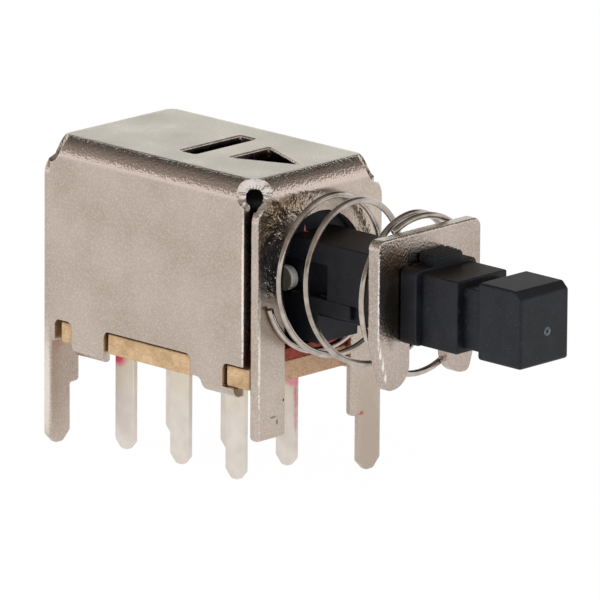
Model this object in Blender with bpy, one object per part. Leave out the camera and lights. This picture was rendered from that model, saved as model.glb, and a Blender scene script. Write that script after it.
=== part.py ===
"""A latching six-terminal push switch in a folded steel case, with its return spring outside.

Metres, +Z up. Pushing moves the plunger along -X. The origin is under the middle of the
whole length, level with the terminal tips.
"""
import bpy
import bmesh
from math import acos, cos, degrees, pi, radians, sin, sqrt
from mathutils import Matrix, Vector

MM = 0.001

# Case, one folded steel sheet with an open bottom
CASE_LENGTH = 14.5 * MM
CASE_WIDTH = 9.06 * MM
CASE_RISE = 12.76 * MM
SHEET = 0.5 * MM
BEND_RADIUS = 1.0 * MM
END_PANEL_INSET = 0.17 * MM
END_SHOULDER_RADIUS = 0.95 * MM
CORNER_SLIT = 0.26 * MM
CORNER_RIM = 1.56 * MM
CORNER_HOLE = 0.7 * MM
CORNER_DISH = 0.16 * MM
CORNER_SETBACK = 0.34 * MM
CORNER_DROP = 0.725 * MM
CORNER_TILT = radians(23)
TOP_SLOT_WIDTH = 1.05 * MM
TOP_SLOT_LENGTH = 4.2 * MM
TOP_SLOT_SETBACK = 6.38 * MM
POINTER_BASE = 2.76 * MM
POINTER_LENGTH = 3.3 * MM
POINTER_SETBACK = 1.5 * MM
OPENING_RADIUS = 2.95 * MM
REAR_PANEL_LOW = 2.2 * MM

# Legs at the ends of the case
LEG_GAP = 4.6 * MM
LEG_PIN_STEP = 0.6 * MM
LEG_PIN_REACH = 2.87 * MM

# Side panels' lower edge, from the front to the rear
FRONT_WINDOW = 1.39 * MM
FRONT_TAB = 2.15 * MM
FRONT_LIP_SETBACK = 1.0 * MM
FRONT_LIP_LENGTH = 2.5 * MM
REAR_TAB = 2.2 * MM
REAR_WINDOW = 1.0 * MM
REAR_STRIP = 0.34 * MM
WINDOW_HEADROOM = 0.13 * MM
WINDOW_CORNER = 0.35 * MM
TAB_STEP = 0.1 * MM
LIP_RADIUS = 0.52 * MM
LIP_REACH = 0.45 * MM
LIP_SLANT = 0.55 * MM

# Terminal board with ears in the windows, and the moulded base on it
BOARD_RISE = 2.5 * MM
BOARD_THICKNESS = 1.0 * MM
EAR_REACH = 0.4 * MM
EAR_GAP = 0.1 * MM
SLOT_EASE = 0.05 * MM
BASE_FLOOR = 0.6 * MM
BASE_WALL = 0.5 * MM
BASE_WALL_RISE = 5.1 * MM
REAR_POST_WIDTH = 3.2 * MM
SHELF_THICKNESS = 0.35 * MM
SHELF_DEPTH = 1.15 * MM

# Terminals, two rows of three flat blades, counted from the front
TERMINAL_ROW = 3.5 * MM
TERMINAL_FRONT_SPACE = 3.8 * MM
TERMINAL_REAR_SPACE = 3.18 * MM
TERMINAL_REACH = 3.03 * MM
TERMINAL_SHEET = 0.3 * MM
TERMINAL_TIP_WIDTH = 1.26 * MM
TERMINAL_TIP_OFFSET = 0.03 * MM
TERMINAL_STEM_WIDTH = 1.7 * MM
TERMINAL_COLLAR_WIDTH = 2.2 * MM
TERMINAL_COLLAR_HEIGHT = 0.35 * MM
TERMINAL_HEAD_WIDTH = 1.6 * MM
TERMINAL_HEAD_RISE = 4.3 * MM

# Plunger, one moulding from the cam block to the button tip
AXIS_RISE = 7.75 * MM
PLUNGER_REACH = 14.65 * MM
PLUNGER_DROP = 1.8 * MM
TIP_WIDTH = 3.33 * MM
TIP_HEIGHT = 3.77 * MM
TIP_LENGTH = 2.8 * MM
TIP_CHAMFER = 0.35 * MM
NECK_WIDTH = 2.6 * MM
NECK_INSET = 0.25 * MM
NECK_HEIGHT = 3.0 * MM
NECK_LENGTH = 1.25 * MM
BLOCK_WIDTH = 3.46 * MM
BLOCK_HEIGHT = 3.55 * MM
BLOCK_LENGTH = 2.45 * MM
FLANGE_WIDTH = 4.0 * MM
FLANGE_HEIGHT = 3.7 * MM
FLANGE_LENGTH = 0.9 * MM
NUB_WIDTH = 2.7 * MM
NUB_HEIGHT = 0.5 * MM
NUB_STEP_LENGTH = 0.3 * MM
NUB_STEP_DROP = 0.3 * MM
SHANK_WIDTH = 3.0 * MM
SHANK_HEIGHT = 3.75 * MM
RECESS_WIDTH = 2.4 * MM
RECESS_HEIGHT = 0.95 * MM
RECESS_REACH = 1.2 * MM
RIB_DROP = 0.73 * MM
RIB_REACH = 3.4 * MM
RAIL_WIDTH = 2.8 * MM
RAIL_SPRING_GAP = 0.233 * MM
CAM_SIDE_GAP = 0.13 * MM
CAM_OVERHANG = 1.64 * MM
CAM_HEIGHT = 2.45 * MM
CAM_RISE = 0.35 * MM
TRACK_DEPTH = 0.7 * MM
TRACK_WIDTH = 2.6 * MM
TRACK_LENGTH = 5.1 * MM
TRACK_SETBACK = 0.4 * MM
TRACK_SHIFT = 0.9 * MM
HEART_WIDTH = 0.9 * MM
HEART_LENGTH = 2.2 * MM
HEART_SETBACK = 1.8 * MM

# Sliding contacts in the plunger and the small springs that press them outward
CONTACT_SHEET = 0.5 * MM
CONTACT_HEIGHT = 1.2 * MM
CONTACT_OVERHANG = 1.04 * MM
CONTACT_DROP = 0.35 * MM
CONTACT_BULGE = 0.2 * MM
CONTACT_BULGE_WIDTH = 0.8 * MM
POCKET_REACH = 1.85 * MM
POCKET_HEADROOM = 0.6 * MM
CROSS_SPRING_DIAMETER = 0.86 * MM
CROSS_SPRING_WIRE = 0.14 * MM
CROSS_SPRING_TURNS = 5
CROSS_SPRING_SHIFT = 0.5 * MM

# Retaining plate, an upside-down U pushed over the plunger
PLATE_SHEET = 0.7 * MM
PLATE_WIDTH = 7.1 * MM
PLATE_SETBACK = 7.45 * MM
PLATE_RISE = 11.13 * MM
PLATE_FOOT_RISE = 3.7 * MM
PLATE_FOOT_WIDTH = 1.97 * MM
PLATE_NECK_WIDTH = 2.6 * MM
PLATE_CORNER = 0.45 * MM
PLATE_SHOULDER_DROP = 5.9 * MM

# Return spring, with closed turns at both ends
SPRING_DIAMETER = 8.0 * MM
SPRING_WIRE = 0.32 * MM
SPRING_START = 0.55
SPRING_TURNS = 3.78
SPRING_KNOTS = ((0.0, 0.0), (0.45, 0.02), (1.0, 0.143), (1.7, 0.305), (1.95, 0.41),
                (2.5, 0.78), (2.95, 1.0), (3.78, 1.0))

# Latch pin of bent wire, and the leaf that holds it down in the cam track
LATCH_WIRE = 0.42 * MM
LATCH_PIVOT_SPACE = 1.6 * MM
LATCH_TIP_SPACE = 0.7 * MM
LATCH_RISE = 0.14 * MM
LATCH_BEND = 0.3 * MM
LEAF_SHEET = 0.12 * MM
LEAF_WIDTH = 1.6 * MM
LEAF_SPACE = 0.8 * MM
LEAF_LENGTH = 3.6 * MM
LEAF_SLOPE_LENGTH = 1.8 * MM

# Clearances between pieces
FIT_GAP = 0.05 * MM
RUN_GAP = 0.1 * MM
JOIN_INSET = 0.005 * MM

# Heights and lengthwise places that follow from the sizes above
SEAT_Z = TERMINAL_REACH
FRONT_X = (CASE_LENGTH - PLUNGER_REACH) / 2
REAR_X = FRONT_X - CASE_LENGTH
FRONT_INSIDE_X = FRONT_X - SHEET
REAR_INSIDE_X = REAR_X + SHEET
SIDE_FRONT_X = FRONT_INSIDE_X - CORNER_SLIT
SIDE_REAR_X = REAR_INSIDE_X + CORNER_SLIT
CASE_TOP_Z = SEAT_Z + CASE_RISE
BEND_Z = CASE_TOP_Z - BEND_RADIUS
PANEL_TOP_Z = BEND_Z - FIT_GAP
CAP_LOW_Z = BEND_Z - SHEET / 2
CEILING_Z = CASE_TOP_Z - SHEET
INNER_HALF = CASE_WIDTH / 2 - SHEET
END_PANEL_HALF = CASE_WIDTH / 2 - END_PANEL_INSET
LEG_INNER = LEG_GAP / 2
BOARD_LOW_Z = SEAT_Z + BOARD_RISE
BOARD_TOP_Z = BOARD_LOW_Z + BOARD_THICKNESS
BOARD_FRONT_X = FRONT_INSIDE_X - FIT_GAP
BOARD_REAR_X = REAR_INSIDE_X + FIT_GAP
BOARD_HALF = INNER_HALF - RUN_GAP
LIP_TOP_Z = BOARD_LOW_Z - FIT_GAP
LIP_BEND_Z = LIP_TOP_Z - SHEET + LIP_RADIUS
WINDOW_TOP_Z = BOARD_TOP_Z + WINDOW_HEADROOM
FRONT_WINDOW_X = SIDE_FRONT_X - FRONT_WINDOW
MIDDLE_WINDOW_X = FRONT_WINDOW_X - FRONT_TAB
REAR_STRIP_X = SIDE_REAR_X + REAR_STRIP
REAR_WINDOW_X = REAR_STRIP_X + REAR_WINDOW
REAR_TAB_X = REAR_WINDOW_X + REAR_TAB
TERMINAL_X = FRONT_X - TERMINAL_FRONT_SPACE
TERMINAL_PITCH = (CASE_LENGTH - TERMINAL_FRONT_SPACE - TERMINAL_REAR_SPACE) / 2
MIDDLE_TERMINAL_X = TERMINAL_X - TERMINAL_PITCH
FLOOR_TOP_Z = BOARD_TOP_Z + BASE_FLOOR
COLLAR_Z = FLOOR_TOP_Z + FIT_GAP
HEAD_TOP_Z = FLOOR_TOP_Z + TERMINAL_HEAD_RISE
BLADE_INNER_Y = (TERMINAL_ROW - TERMINAL_SHEET) / 2
AXIS_Z = SEAT_Z + AXIS_RISE
PLUNGER_LOW_Z = AXIS_Z - PLUNGER_DROP
SHANK_TOP_Z = PLUNGER_LOW_Z + SHANK_HEIGHT
RAIL_CORNER = SPRING_DIAMETER / 2 - SPRING_WIRE - RAIL_SPRING_GAP
RAIL_LOW_Z = AXIS_Z - sqrt(RAIL_CORNER ** 2 - (RAIL_WIDTH / 2) ** 2)
TIP_X = FRONT_X + PLUNGER_REACH
TIP_REAR_X = TIP_X - TIP_LENGTH
BLOCK_X = TIP_REAR_X - NECK_LENGTH
FLANGE_X = BLOCK_X - BLOCK_LENGTH
FLANGE_REAR_X = FLANGE_X - FLANGE_LENGTH
PLATE_X = TIP_X - PLATE_SETBACK
PLATE_REAR_X = PLATE_X - PLATE_SHEET
PLATE_TOP_Z = SEAT_Z + PLATE_RISE
GROOVE_REAR_X = PLATE_REAR_X - FIT_GAP
CAM_FRONT_X = FRONT_INSIDE_X - RUN_GAP
CAM_REAR_X = MIDDLE_TERMINAL_X - CAM_OVERHANG
CAM_HALF = BOARD_HALF - BASE_WALL - CAM_SIDE_GAP
CAM_LOW_Z = HEAD_TOP_Z + CAM_RISE
CAM_TOP_Z = CAM_LOW_Z + CAM_HEIGHT
TRACK_FRONT_X = CAM_FRONT_X - TRACK_SETBACK
HEART_X = CAM_FRONT_X - HEART_SETBACK
CONTACT_Z = AXIS_Z - CONTACT_DROP
CONTACT_TIP_Y = BLADE_INNER_Y - FIT_GAP
CONTACT_OUTER_Y = CONTACT_TIP_Y - CONTACT_BULGE
CONTACT_INNER_Y = CONTACT_OUTER_Y - CONTACT_SHEET
CONTACT_X = CAM_FRONT_X
CONTACT_REAR_X = MIDDLE_TERMINAL_X - CONTACT_OVERHANG
POCKET_LOW_Z = CONTACT_Z - CONTACT_HEIGHT / 2 - RUN_GAP
POCKET_TOP_Z = CONTACT_Z + CONTACT_HEIGHT / 2 + POCKET_HEADROOM
TRACK_REAR_X = TRACK_FRONT_X - TRACK_LENGTH
PIVOT_X = REAR_X + LATCH_PIVOT_SPACE
LATCH_TIP_X = TRACK_REAR_X + LATCH_TIP_SPACE
LATCH_Z = CAM_TOP_Z + LATCH_RISE + LATCH_WIRE / 2
SHELF_LOW_Z = LATCH_Z + LATCH_WIRE / 2 + RUN_GAP
SHELF_TOP_Z = SHELF_LOW_Z + SHELF_THICKNESS
TRACK_LOW_Z = CAM_TOP_Z - TRACK_DEPTH

# Smoothness of round shapes
BEND_STEPS = 6
ROUND_STEPS = 32
SMALL_STEPS = 8
WIRE_SIDES = 2
SPRING_STEPS = 32
CROSS_SPRING_STEPS = 14
SMOOTH_ANGLE = radians(35)
MARGIN = 1.0 * MM


def clear_scene():
    """Removes every object, so that a second run starts empty."""
    for item in list(bpy.data.objects):
        bpy.data.objects.remove(item, do_unlink=True)


def make_material(name, colour, roughness, metallic):
    """A plain surface finish with one colour."""
    material = bpy.data.materials.new(name)
    material.use_nodes = True
    shader = material.node_tree.nodes["Principled BSDF"]
    shader.inputs["Base Color"].default_value = (*colour, 1.0)
    shader.inputs["Roughness"].default_value = roughness
    shader.inputs["Metallic"].default_value = metallic
    material.diffuse_color = (*colour, 1.0)
    return material


def nickel():
    """Satin nickel plate on the folded case."""
    return make_material("satin_nickel_plate", (0.62, 0.58, 0.54), 0.38, 1.0)


def plate_nickel():
    """Satin nickel plate on the thicker retaining plate."""
    return make_material("nickel_plated_steel", (0.60, 0.57, 0.54), 0.34, 1.0)


def spring_wire():
    """Bright drawn spring wire."""
    return make_material("bright_spring_wire", (0.72, 0.71, 0.69), 0.22, 1.0)


def latch_wire():
    """Hard drawn latch wire."""
    return make_material("hard_drawn_wire", (0.58, 0.57, 0.56), 0.3, 1.0)


def leaf_steel():
    """Thin rolled spring strip."""
    return make_material("spring_strip", (0.60, 0.60, 0.60), 0.3, 1.0)


def terminal_silver():
    """Matt silver plate on the brass terminals."""
    return make_material("silver_plated_brass", (0.80, 0.77, 0.70), 0.40, 1.0)


def contact_silver():
    """Silver plate on the sliding contacts."""
    return make_material("silver_plated_copper", (0.84, 0.82, 0.77), 0.30, 1.0)


def black_moulding():
    """Matt black moulded plastic."""
    return make_material("black_acetal", (0.035, 0.037, 0.042), 0.5, 0.0)


def phenolic_board():
    """Tan phenolic paper board."""
    return make_material("phenolic_paper_board", (0.55, 0.40, 0.24), 0.65, 0.0)


def red_moulding():
    """Red-brown phenolic moulding."""
    return make_material("red_brown_phenolic", (0.26, 0.05, 0.03), 0.45, 0.0)


def place(name, mesh, material=None):
    """Puts a mesh into the scene as a named object with its material."""
    mesh.name = name
    item = bpy.data.objects.new(name, mesh)
    bpy.context.scene.collection.objects.link(item)
    if material is not None:
        item.data.materials.append(material)
    return item


def to_mesh(shape):
    """Turns a bmesh into a mesh with its faces pointing out."""
    bmesh.ops.recalc_face_normals(shape, faces=shape.faces)
    mesh = bpy.data.meshes.new("shape")
    shape.to_mesh(mesh)
    shape.free()
    return mesh


def arc(centre_u, centre_v, radius, start, end, steps):
    """Points on an arc in a plane, both ends included. Angles in degrees."""
    points = []
    for step in range(steps + 1):
        angle = radians(start + (end - start) * step / steps)
        points.append((centre_u + radius * cos(angle), centre_v + radius * sin(angle)))
    return points


def mirrored(points):
    """The same points on the other side, in the opposite order."""
    return [(-u, v) for u, v in reversed(points)]


def on_axis(axis, u, v, along):
    """A point from its place in the outline's plane and along the outline's axis."""
    if axis == "X":
        return Vector((along, u, v))
    if axis == "Y":
        return Vector((u, along, v))
    return Vector((u, v, along))


def prism(outline, axis, low, high):
    """A closed mesh: the outline pushed along an axis from low to high."""
    shape = bmesh.new()
    corners = [shape.verts.new(on_axis(axis, u, v, low)) for u, v in outline]
    face = shape.faces.new(corners)
    pushed = bmesh.ops.extrude_face_region(shape, geom=[face])
    moved = [item for item in pushed["geom"] if isinstance(item, bmesh.types.BMVert)]
    bmesh.ops.translate(shape, verts=moved, vec=on_axis(axis, 0.0, 0.0, high - low))
    if len(shape.faces) == len(outline) + 1:
        shape.faces.new(corners)
    return to_mesh(shape)


def block(low, high):
    """A closed box mesh between two corners."""
    outline = [(low[0], low[1]), (high[0], low[1]), (high[0], high[1]), (low[0], high[1])]
    return prism(outline, "Z", low[2], high[2])


def rod(axis, centre, radius, low, high, steps=ROUND_STEPS):
    """A closed round bar along an axis."""
    outline = arc(centre[0], centre[1], radius, 0, 360, steps)[:-1]
    return prism(outline, axis, low, high)


def turned(profile, steps):
    """A closed mesh: a profile of radius and height turned about Z."""
    shape = bmesh.new()
    corners = [shape.verts.new((radius, 0.0, height)) for radius, height in profile]
    edges = [shape.edges.new(pair) for pair in zip(corners, corners[1:])]
    bmesh.ops.spin(shape, geom=corners + edges, axis=(0, 0, 1), cent=(0, 0, 0),
                   angle=2 * pi, steps=steps, use_merge=True)
    bmesh.ops.remove_doubles(shape, verts=shape.verts, dist=JOIN_INSET / 10)
    return to_mesh(shape)


def combine(item, mesh, operation):
    """Adds, cuts or keeps the common part of a second mesh."""
    helper = place("helper", mesh)
    modifier = item.modifiers.new("combine", "BOOLEAN")
    modifier.operation = operation
    modifier.solver = "EXACT"
    modifier.object = helper
    graph = bpy.context.evaluated_depsgraph_get()
    result = bpy.data.meshes.new_from_object(item.evaluated_get(graph))
    item.modifiers.clear()
    result.name = item.name
    item.data = result
    bpy.data.objects.remove(helper, do_unlink=True)


def cut(item, mesh):
    """Takes a mesh's space out of an object."""
    combine(item, mesh, "DIFFERENCE")


def add(item, mesh):
    """Joins a mesh to an object as one body."""
    combine(item, mesh, "UNION")


def finish(item):
    """Shades curved stretches smooth and keeps real edges sharp."""
    item.data.shade_smooth()
    item.data.set_sharp_from_angle(angle=SMOOTH_ANGLE)
    return item


def turn_about(item, point):
    """Moves an object's origin to a point without moving its shape."""
    item.data.transform(Matrix.Translation(-Vector(point)))
    item.location = point
    return item


def on_plunger_axis(item):
    """Gives a sliding piece the plunger's axis as its origin."""
    return turn_about(item, (FRONT_X, 0.0, AXIS_Z))


def rounded_shell(inset, low_z, radius):
    """The case's outer block, or one set in from it, with rounded top and upright edges."""
    half_y = CASE_WIDTH / 2 - inset
    mesh = block((REAR_X + inset, -half_y, low_z), (FRONT_X - inset, half_y, CASE_TOP_Z - inset))
    shape = bmesh.new()
    shape.from_mesh(mesh)
    edges = [e for e in shape.edges if max(v.co.z for v in e.verts) > low_z + MARGIN / 10]
    bmesh.ops.bevel(shape, geom=edges, offset=radius, offset_type="OFFSET", affect="EDGES",
                    segments=BEND_STEPS, profile=0.5, material=-1)
    return to_mesh(shape)


def leg_outline(has_pin):
    """Outline of the leg at +Y, down its outer edge and up its inner edge."""
    outer = END_PANEL_HALF
    if not has_pin:
        return [(outer, SEAT_Z), (LEG_INNER, SEAT_Z)]
    pin_inner = LEG_INNER + LEG_PIN_STEP
    pin_half = (outer - pin_inner) / 2
    low = SEAT_Z - LEG_PIN_REACH + pin_half
    tip = arc(outer - pin_half, low, pin_half, 0, -180, SMALL_STEPS)
    return tip + [(pin_inner, SEAT_Z), (LEG_INNER, SEAT_Z)]


def shoulder_outline():
    """Outline of the rounded shoulder at +Y under the bend of an end panel."""
    middle = END_PANEL_HALF - END_SHOULDER_RADIUS
    return arc(middle, PANEL_TOP_Z - END_SHOULDER_RADIUS, END_SHOULDER_RADIUS, 90, 0, BEND_STEPS)


def front_panel_outline():
    """Front panel with its arched opening, a solder pin at +Y and a stand-off at -Y."""
    start = -degrees(acos(LEG_INNER / OPENING_RADIUS))
    points = shoulder_outline() + leg_outline(True)
    points += arc(0.0, AXIS_Z, OPENING_RADIUS, start, 180 - start, ROUND_STEPS)
    return points + mirrored(leg_outline(False)) + mirrored(shoulder_outline())


def rear_panel_outline():
    """Rear panel, closed down to its lower edge, with its solder pin at -Y."""
    edge = SEAT_Z + REAR_PANEL_LOW
    points = shoulder_outline() + leg_outline(False)
    points += [(LEG_INNER, edge), (-LEG_INNER, edge)]
    return points + mirrored(leg_outline(True)) + mirrored(shoulder_outline())


def side_panel_outline():
    """Side panel with three windows and two tabs along its lower edge."""
    corner = WINDOW_CORNER
    arch_z = WINDOW_TOP_Z - corner
    tab_z = LIP_BEND_Z - 8 * JOIN_INSET
    points = [(SIDE_REAR_X, PANEL_TOP_Z), (SIDE_FRONT_X, PANEL_TOP_Z)]
    points += [(SIDE_FRONT_X, WINDOW_TOP_Z)]
    points += arc(FRONT_WINDOW_X + corner, arch_z, corner, 90, 180, BEND_STEPS)
    lip_rear_x = FRONT_X - FRONT_LIP_SETBACK - FRONT_LIP_LENGTH
    points += [(FRONT_WINDOW_X, tab_z), (lip_rear_x, tab_z)]
    points += [(lip_rear_x, LIP_BEND_Z + TAB_STEP), (MIDDLE_WINDOW_X, LIP_BEND_Z + TAB_STEP)]
    points += arc(MIDDLE_WINDOW_X - corner, arch_z, corner, 0, 90, BEND_STEPS)
    points += arc(REAR_TAB_X + corner, arch_z, corner, 90, 180, BEND_STEPS)
    points += [(REAR_TAB_X, tab_z), (REAR_WINDOW_X, tab_z)]
    points += arc(REAR_WINDOW_X - corner, arch_z, corner, 0, 90, BEND_STEPS)
    points += arc(REAR_STRIP_X + corner, arch_z, corner, 90, 180, BEND_STEPS)
    return points + [(REAR_STRIP_X, BOARD_LOW_Z), (SIDE_REAR_X, BOARD_LOW_Z)]


def lip_outline():
    """A tab's curl under the board at +Y, in Y and Z."""
    step = 2 * JOIN_INSET
    middle = CASE_WIDTH / 2 - LIP_RADIUS
    end = middle - LIP_REACH
    inside = LIP_RADIUS - SHEET
    points = arc(middle, LIP_BEND_Z, LIP_RADIUS - step, 0, -90, BEND_STEPS)
    points += [(end, LIP_BEND_Z - LIP_RADIUS + step), (end, LIP_TOP_Z - step)]
    return points + arc(middle, LIP_BEND_Z, inside + step, -90, 0, BEND_STEPS // 2)


def lip(side, low, high):
    """One curled tab at +Y or -Y, its ends slanting towards its inner edge."""
    outline = lip_outline() if side > 0 else mirrored(lip_outline())
    shape = bmesh.new()
    shape.from_mesh(prism(outline, "X", low, high))
    outer_y = side * CASE_WIDTH / 2
    for end, sign in ((low, -1), (high, 1)):
        normal = Vector((sign * (LIP_RADIUS + LIP_REACH), side * LIP_SLANT * -1, 0.0))
        bmesh.ops.bisect_plane(shape, geom=list(shape.verts) + list(shape.edges) + list(shape.faces),
                               plane_co=Vector((end, outer_y, 0.0)), plane_no=normal,
                               clear_outer=True)
        open_edges = [e for e in shape.edges if len(e.link_faces) == 1]
        bmesh.ops.holes_fill(shape, edges=open_edges)
    return to_mesh(shape)


def pointer_outline():
    """Triangular hole in the case top that points at the button."""
    tip = FRONT_X - POINTER_SETBACK
    base = tip - POINTER_LENGTH
    return [(tip, 0.0), (base, POINTER_BASE / 2), (base, -POINTER_BASE / 2)]


def add_case_panels(case):
    """Adds the end panels, the side panels and the curled tabs to the case top.

    Each added piece is a hair thinner than the one before, so that the joins are clear.
    """
    step = JOIN_INSET
    add(case, prism(front_panel_outline(), "X", FRONT_INSIDE_X + step, FRONT_X - step))
    add(case, prism(rear_panel_outline(), "X", REAR_X + step, REAR_INSIDE_X - step))
    front_lip_x = FRONT_X - FRONT_LIP_SETBACK
    spans = ((REAR_WINDOW_X + step, REAR_TAB_X - step),
             (front_lip_x - FRONT_LIP_LENGTH + step, front_lip_x))
    for side in (1, -1):
        ends = (side * (INNER_HALF + step), side * (CASE_WIDTH / 2 - step))
        add(case, prism(side_panel_outline(), "Y", min(ends), max(ends)))
        for low, high in spans:
            add(case, lip(side, low, high))


def corner_cutter(side_x, side_y):
    """The dished relief hole across one upper corner of the case."""
    rim = CORNER_RIM / 2
    hole = CORNER_HOLE / 2
    profile = [(0.0, -MARGIN), (hole, -MARGIN), (hole, -CORNER_DISH), (rim, 0.0),
               (rim, MARGIN), (0.0, MARGIN)]
    mesh = turned(profile, ROUND_STEPS // 2)
    flat = Vector((side_x, side_y, 0.0)).normalized()
    direction = flat * cos(CORNER_TILT) + Vector((0.0, 0.0, sin(CORNER_TILT)))
    end = FRONT_X if side_x > 0 else REAR_X
    middle = Vector((end - side_x * BEND_RADIUS, side_y * (CASE_WIDTH / 2 - BEND_RADIUS),
                     CASE_TOP_Z - CORNER_DROP)) + flat * CORNER_SETBACK
    mesh.transform(direction.to_track_quat("Z", "Y").to_matrix().to_4x4())
    mesh.transform(Matrix.Translation(middle))
    return mesh


def build_case(material):
    """The folded case: a rounded top, four separate panels and its cut-outs."""
    low = BEND_Z - MARGIN
    case = place("case", rounded_shell(0.0, low, BEND_RADIUS), material)
    cut(case, rounded_shell(SHEET, low - MARGIN, BEND_RADIUS - SHEET))
    cut(case, block((REAR_X - MARGIN, -CASE_WIDTH, low - MARGIN),
                    (FRONT_X + MARGIN, CASE_WIDTH, CAP_LOW_Z)))
    free_x = CASE_LENGTH / 2 - BEND_RADIUS - FIT_GAP
    free_y = CASE_WIDTH / 2 - BEND_RADIUS - FIT_GAP
    middle = (FRONT_X + REAR_X) / 2
    for side_x in (1, -1):
        for side_y in (1, -1):
            x_ends = (middle + side_x * free_x, middle + side_x * CASE_LENGTH)
            y_ends = (side_y * free_y, side_y * CASE_WIDTH)
            cut(case, block((min(x_ends), min(y_ends), low - MARGIN),
                            (max(x_ends), max(y_ends), BEND_Z + FIT_GAP)))
    add_case_panels(case)
    for side_x in (1, -1):
        for side_y in (1, -1):
            cut(case, corner_cutter(side_x, side_y))
    slot_front = FRONT_X - TOP_SLOT_SETBACK
    cut(case, block((slot_front - TOP_SLOT_WIDTH, -TOP_SLOT_LENGTH / 2, CEILING_Z - MARGIN),
                    (slot_front, TOP_SLOT_LENGTH / 2, CASE_TOP_Z + MARGIN)))
    cut(case, prism(pointer_outline(), "Z", CEILING_Z - MARGIN, CASE_TOP_Z + MARGIN))
    return finish(case)


def terminal_x(index):
    """Lengthwise place of a terminal, counted from the front."""
    return TERMINAL_X - index * TERMINAL_PITCH


def cut_terminal_slots(item, low, high, half_width, gap):
    """Cuts the six terminal slots through a flat piece."""
    half_sheet = TERMINAL_SHEET / 2 + gap
    for index in range(3):
        middle = terminal_x(index)
        for side in (1, -1):
            y = side * TERMINAL_ROW / 2
            cut(item, block((middle - half_width, y - half_sheet, low - MARGIN),
                            (middle + half_width, y + half_sheet, high + MARGIN)))


def build_board(material):
    """The terminal board with three ears on each side."""
    spans = ((FRONT_WINDOW_X + EAR_GAP, BOARD_FRONT_X),
             (REAR_TAB_X + EAR_GAP, MIDDLE_WINDOW_X - EAR_GAP),
             (REAR_STRIP_X + EAR_GAP, REAR_WINDOW_X - EAR_GAP))
    ear_y = BOARD_HALF + EAR_REACH
    edge = []
    for low, high in spans:
        edge += [(high, BOARD_HALF), (high, ear_y), (low, ear_y), (low, BOARD_HALF)]
    edge = edge[1:] + [(BOARD_REAR_X, BOARD_HALF)]
    outline = edge + [(u, -v) for u, v in reversed(edge)]
    board = place("terminal_board", prism(outline, "Z", BOARD_LOW_Z, BOARD_TOP_Z), material)
    half_width = TERMINAL_STEM_WIDTH / 2 + SLOT_EASE
    cut_terminal_slots(board, BOARD_LOW_Z, BOARD_TOP_Z, half_width, SLOT_EASE)
    return finish(board)


def rear_post_outline():
    """Rear post of the base with the shelf that holds the latch pin, in X and Z."""
    post_x = BOARD_REAR_X + BASE_WALL
    slope_z = BEND_Z - FIT_GAP
    slope_x = REAR_X + BEND_RADIUS
    return [(BOARD_REAR_X, BOARD_TOP_Z), (post_x, BOARD_TOP_Z), (post_x, SHELF_LOW_Z),
            (post_x + SHELF_DEPTH, SHELF_LOW_Z), (post_x + SHELF_DEPTH, SHELF_TOP_Z),
            (slope_x, SHELF_TOP_Z), (BOARD_REAR_X, slope_z)]


def build_base(material):
    """The moulded base: floor, side walls, rear wall and the latch shelf."""
    wall_z = FLOOR_TOP_Z + BASE_WALL_RISE
    base = place("contact_base", block((BOARD_REAR_X, -BOARD_HALF, BOARD_TOP_Z),
                                       (BOARD_FRONT_X, BOARD_HALF, wall_z)), material)
    inner = BOARD_HALF - BASE_WALL
    cut(base, block((BOARD_REAR_X + BASE_WALL, -inner, FLOOR_TOP_Z),
                    (BOARD_FRONT_X + MARGIN, inner, wall_z + MARGIN)))
    half_post = REAR_POST_WIDTH / 2
    add(base, prism(rear_post_outline(), "Y", -half_post, half_post))
    radius = LATCH_WIRE / 2 + FIT_GAP
    cut(base, rod("Z", (PIVOT_X, 0.0), radius, SHELF_LOW_Z - MARGIN / 10,
                  SHELF_TOP_Z + MARGIN, SMALL_STEPS * 2))
    half_width = TERMINAL_STEM_WIDTH / 2 + SLOT_EASE
    cut_terminal_slots(base, BOARD_TOP_Z, FLOOR_TOP_Z, half_width, SLOT_EASE)
    return finish(base)


def terminal_outline(index):
    """One blade seen from its side, in X and Z, counted from the front."""
    middle = terminal_x(index)
    tip_half = TERMINAL_TIP_WIDTH / 2
    tip_x = middle - TERMINAL_TIP_OFFSET
    stem = TERMINAL_STEM_WIDTH / 2
    head = TERMINAL_HEAD_WIDTH / 2
    collar = TERMINAL_COLLAR_WIDTH / 2
    collar_top = COLLAR_Z + TERMINAL_COLLAR_HEIGHT
    under_z = BOARD_LOW_Z - FIT_GAP
    points = [(middle + stem, COLLAR_Z), (middle + stem, under_z)]
    points += arc(tip_x, tip_half, tip_half, 0, -180, SMALL_STEPS * 2)
    points += [(tip_x - tip_half, under_z), (middle - stem, under_z), (middle - stem, COLLAR_Z)]
    points += [(middle - collar, COLLAR_Z), (middle - collar, collar_top)]
    points += [(middle - head, collar_top)]
    points += arc(middle, HEAD_TOP_Z - head, head, 180, 0, SMALL_STEPS * 2)
    return points + [(middle + head, collar_top), (middle + collar, collar_top),
                     (middle + collar, COLLAR_Z)]


def build_terminals(material):
    """Six flat blades in two rows."""
    half_sheet = TERMINAL_SHEET / 2
    for row, side in (("near", -1), ("far", 1)):
        middle = side * TERMINAL_ROW / 2
        for index in range(3):
            mesh = prism(terminal_outline(index), "Y", middle - half_sheet, middle + half_sheet)
            finish(place(f"terminal_{row}_{index + 1}", mesh, material))


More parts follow.
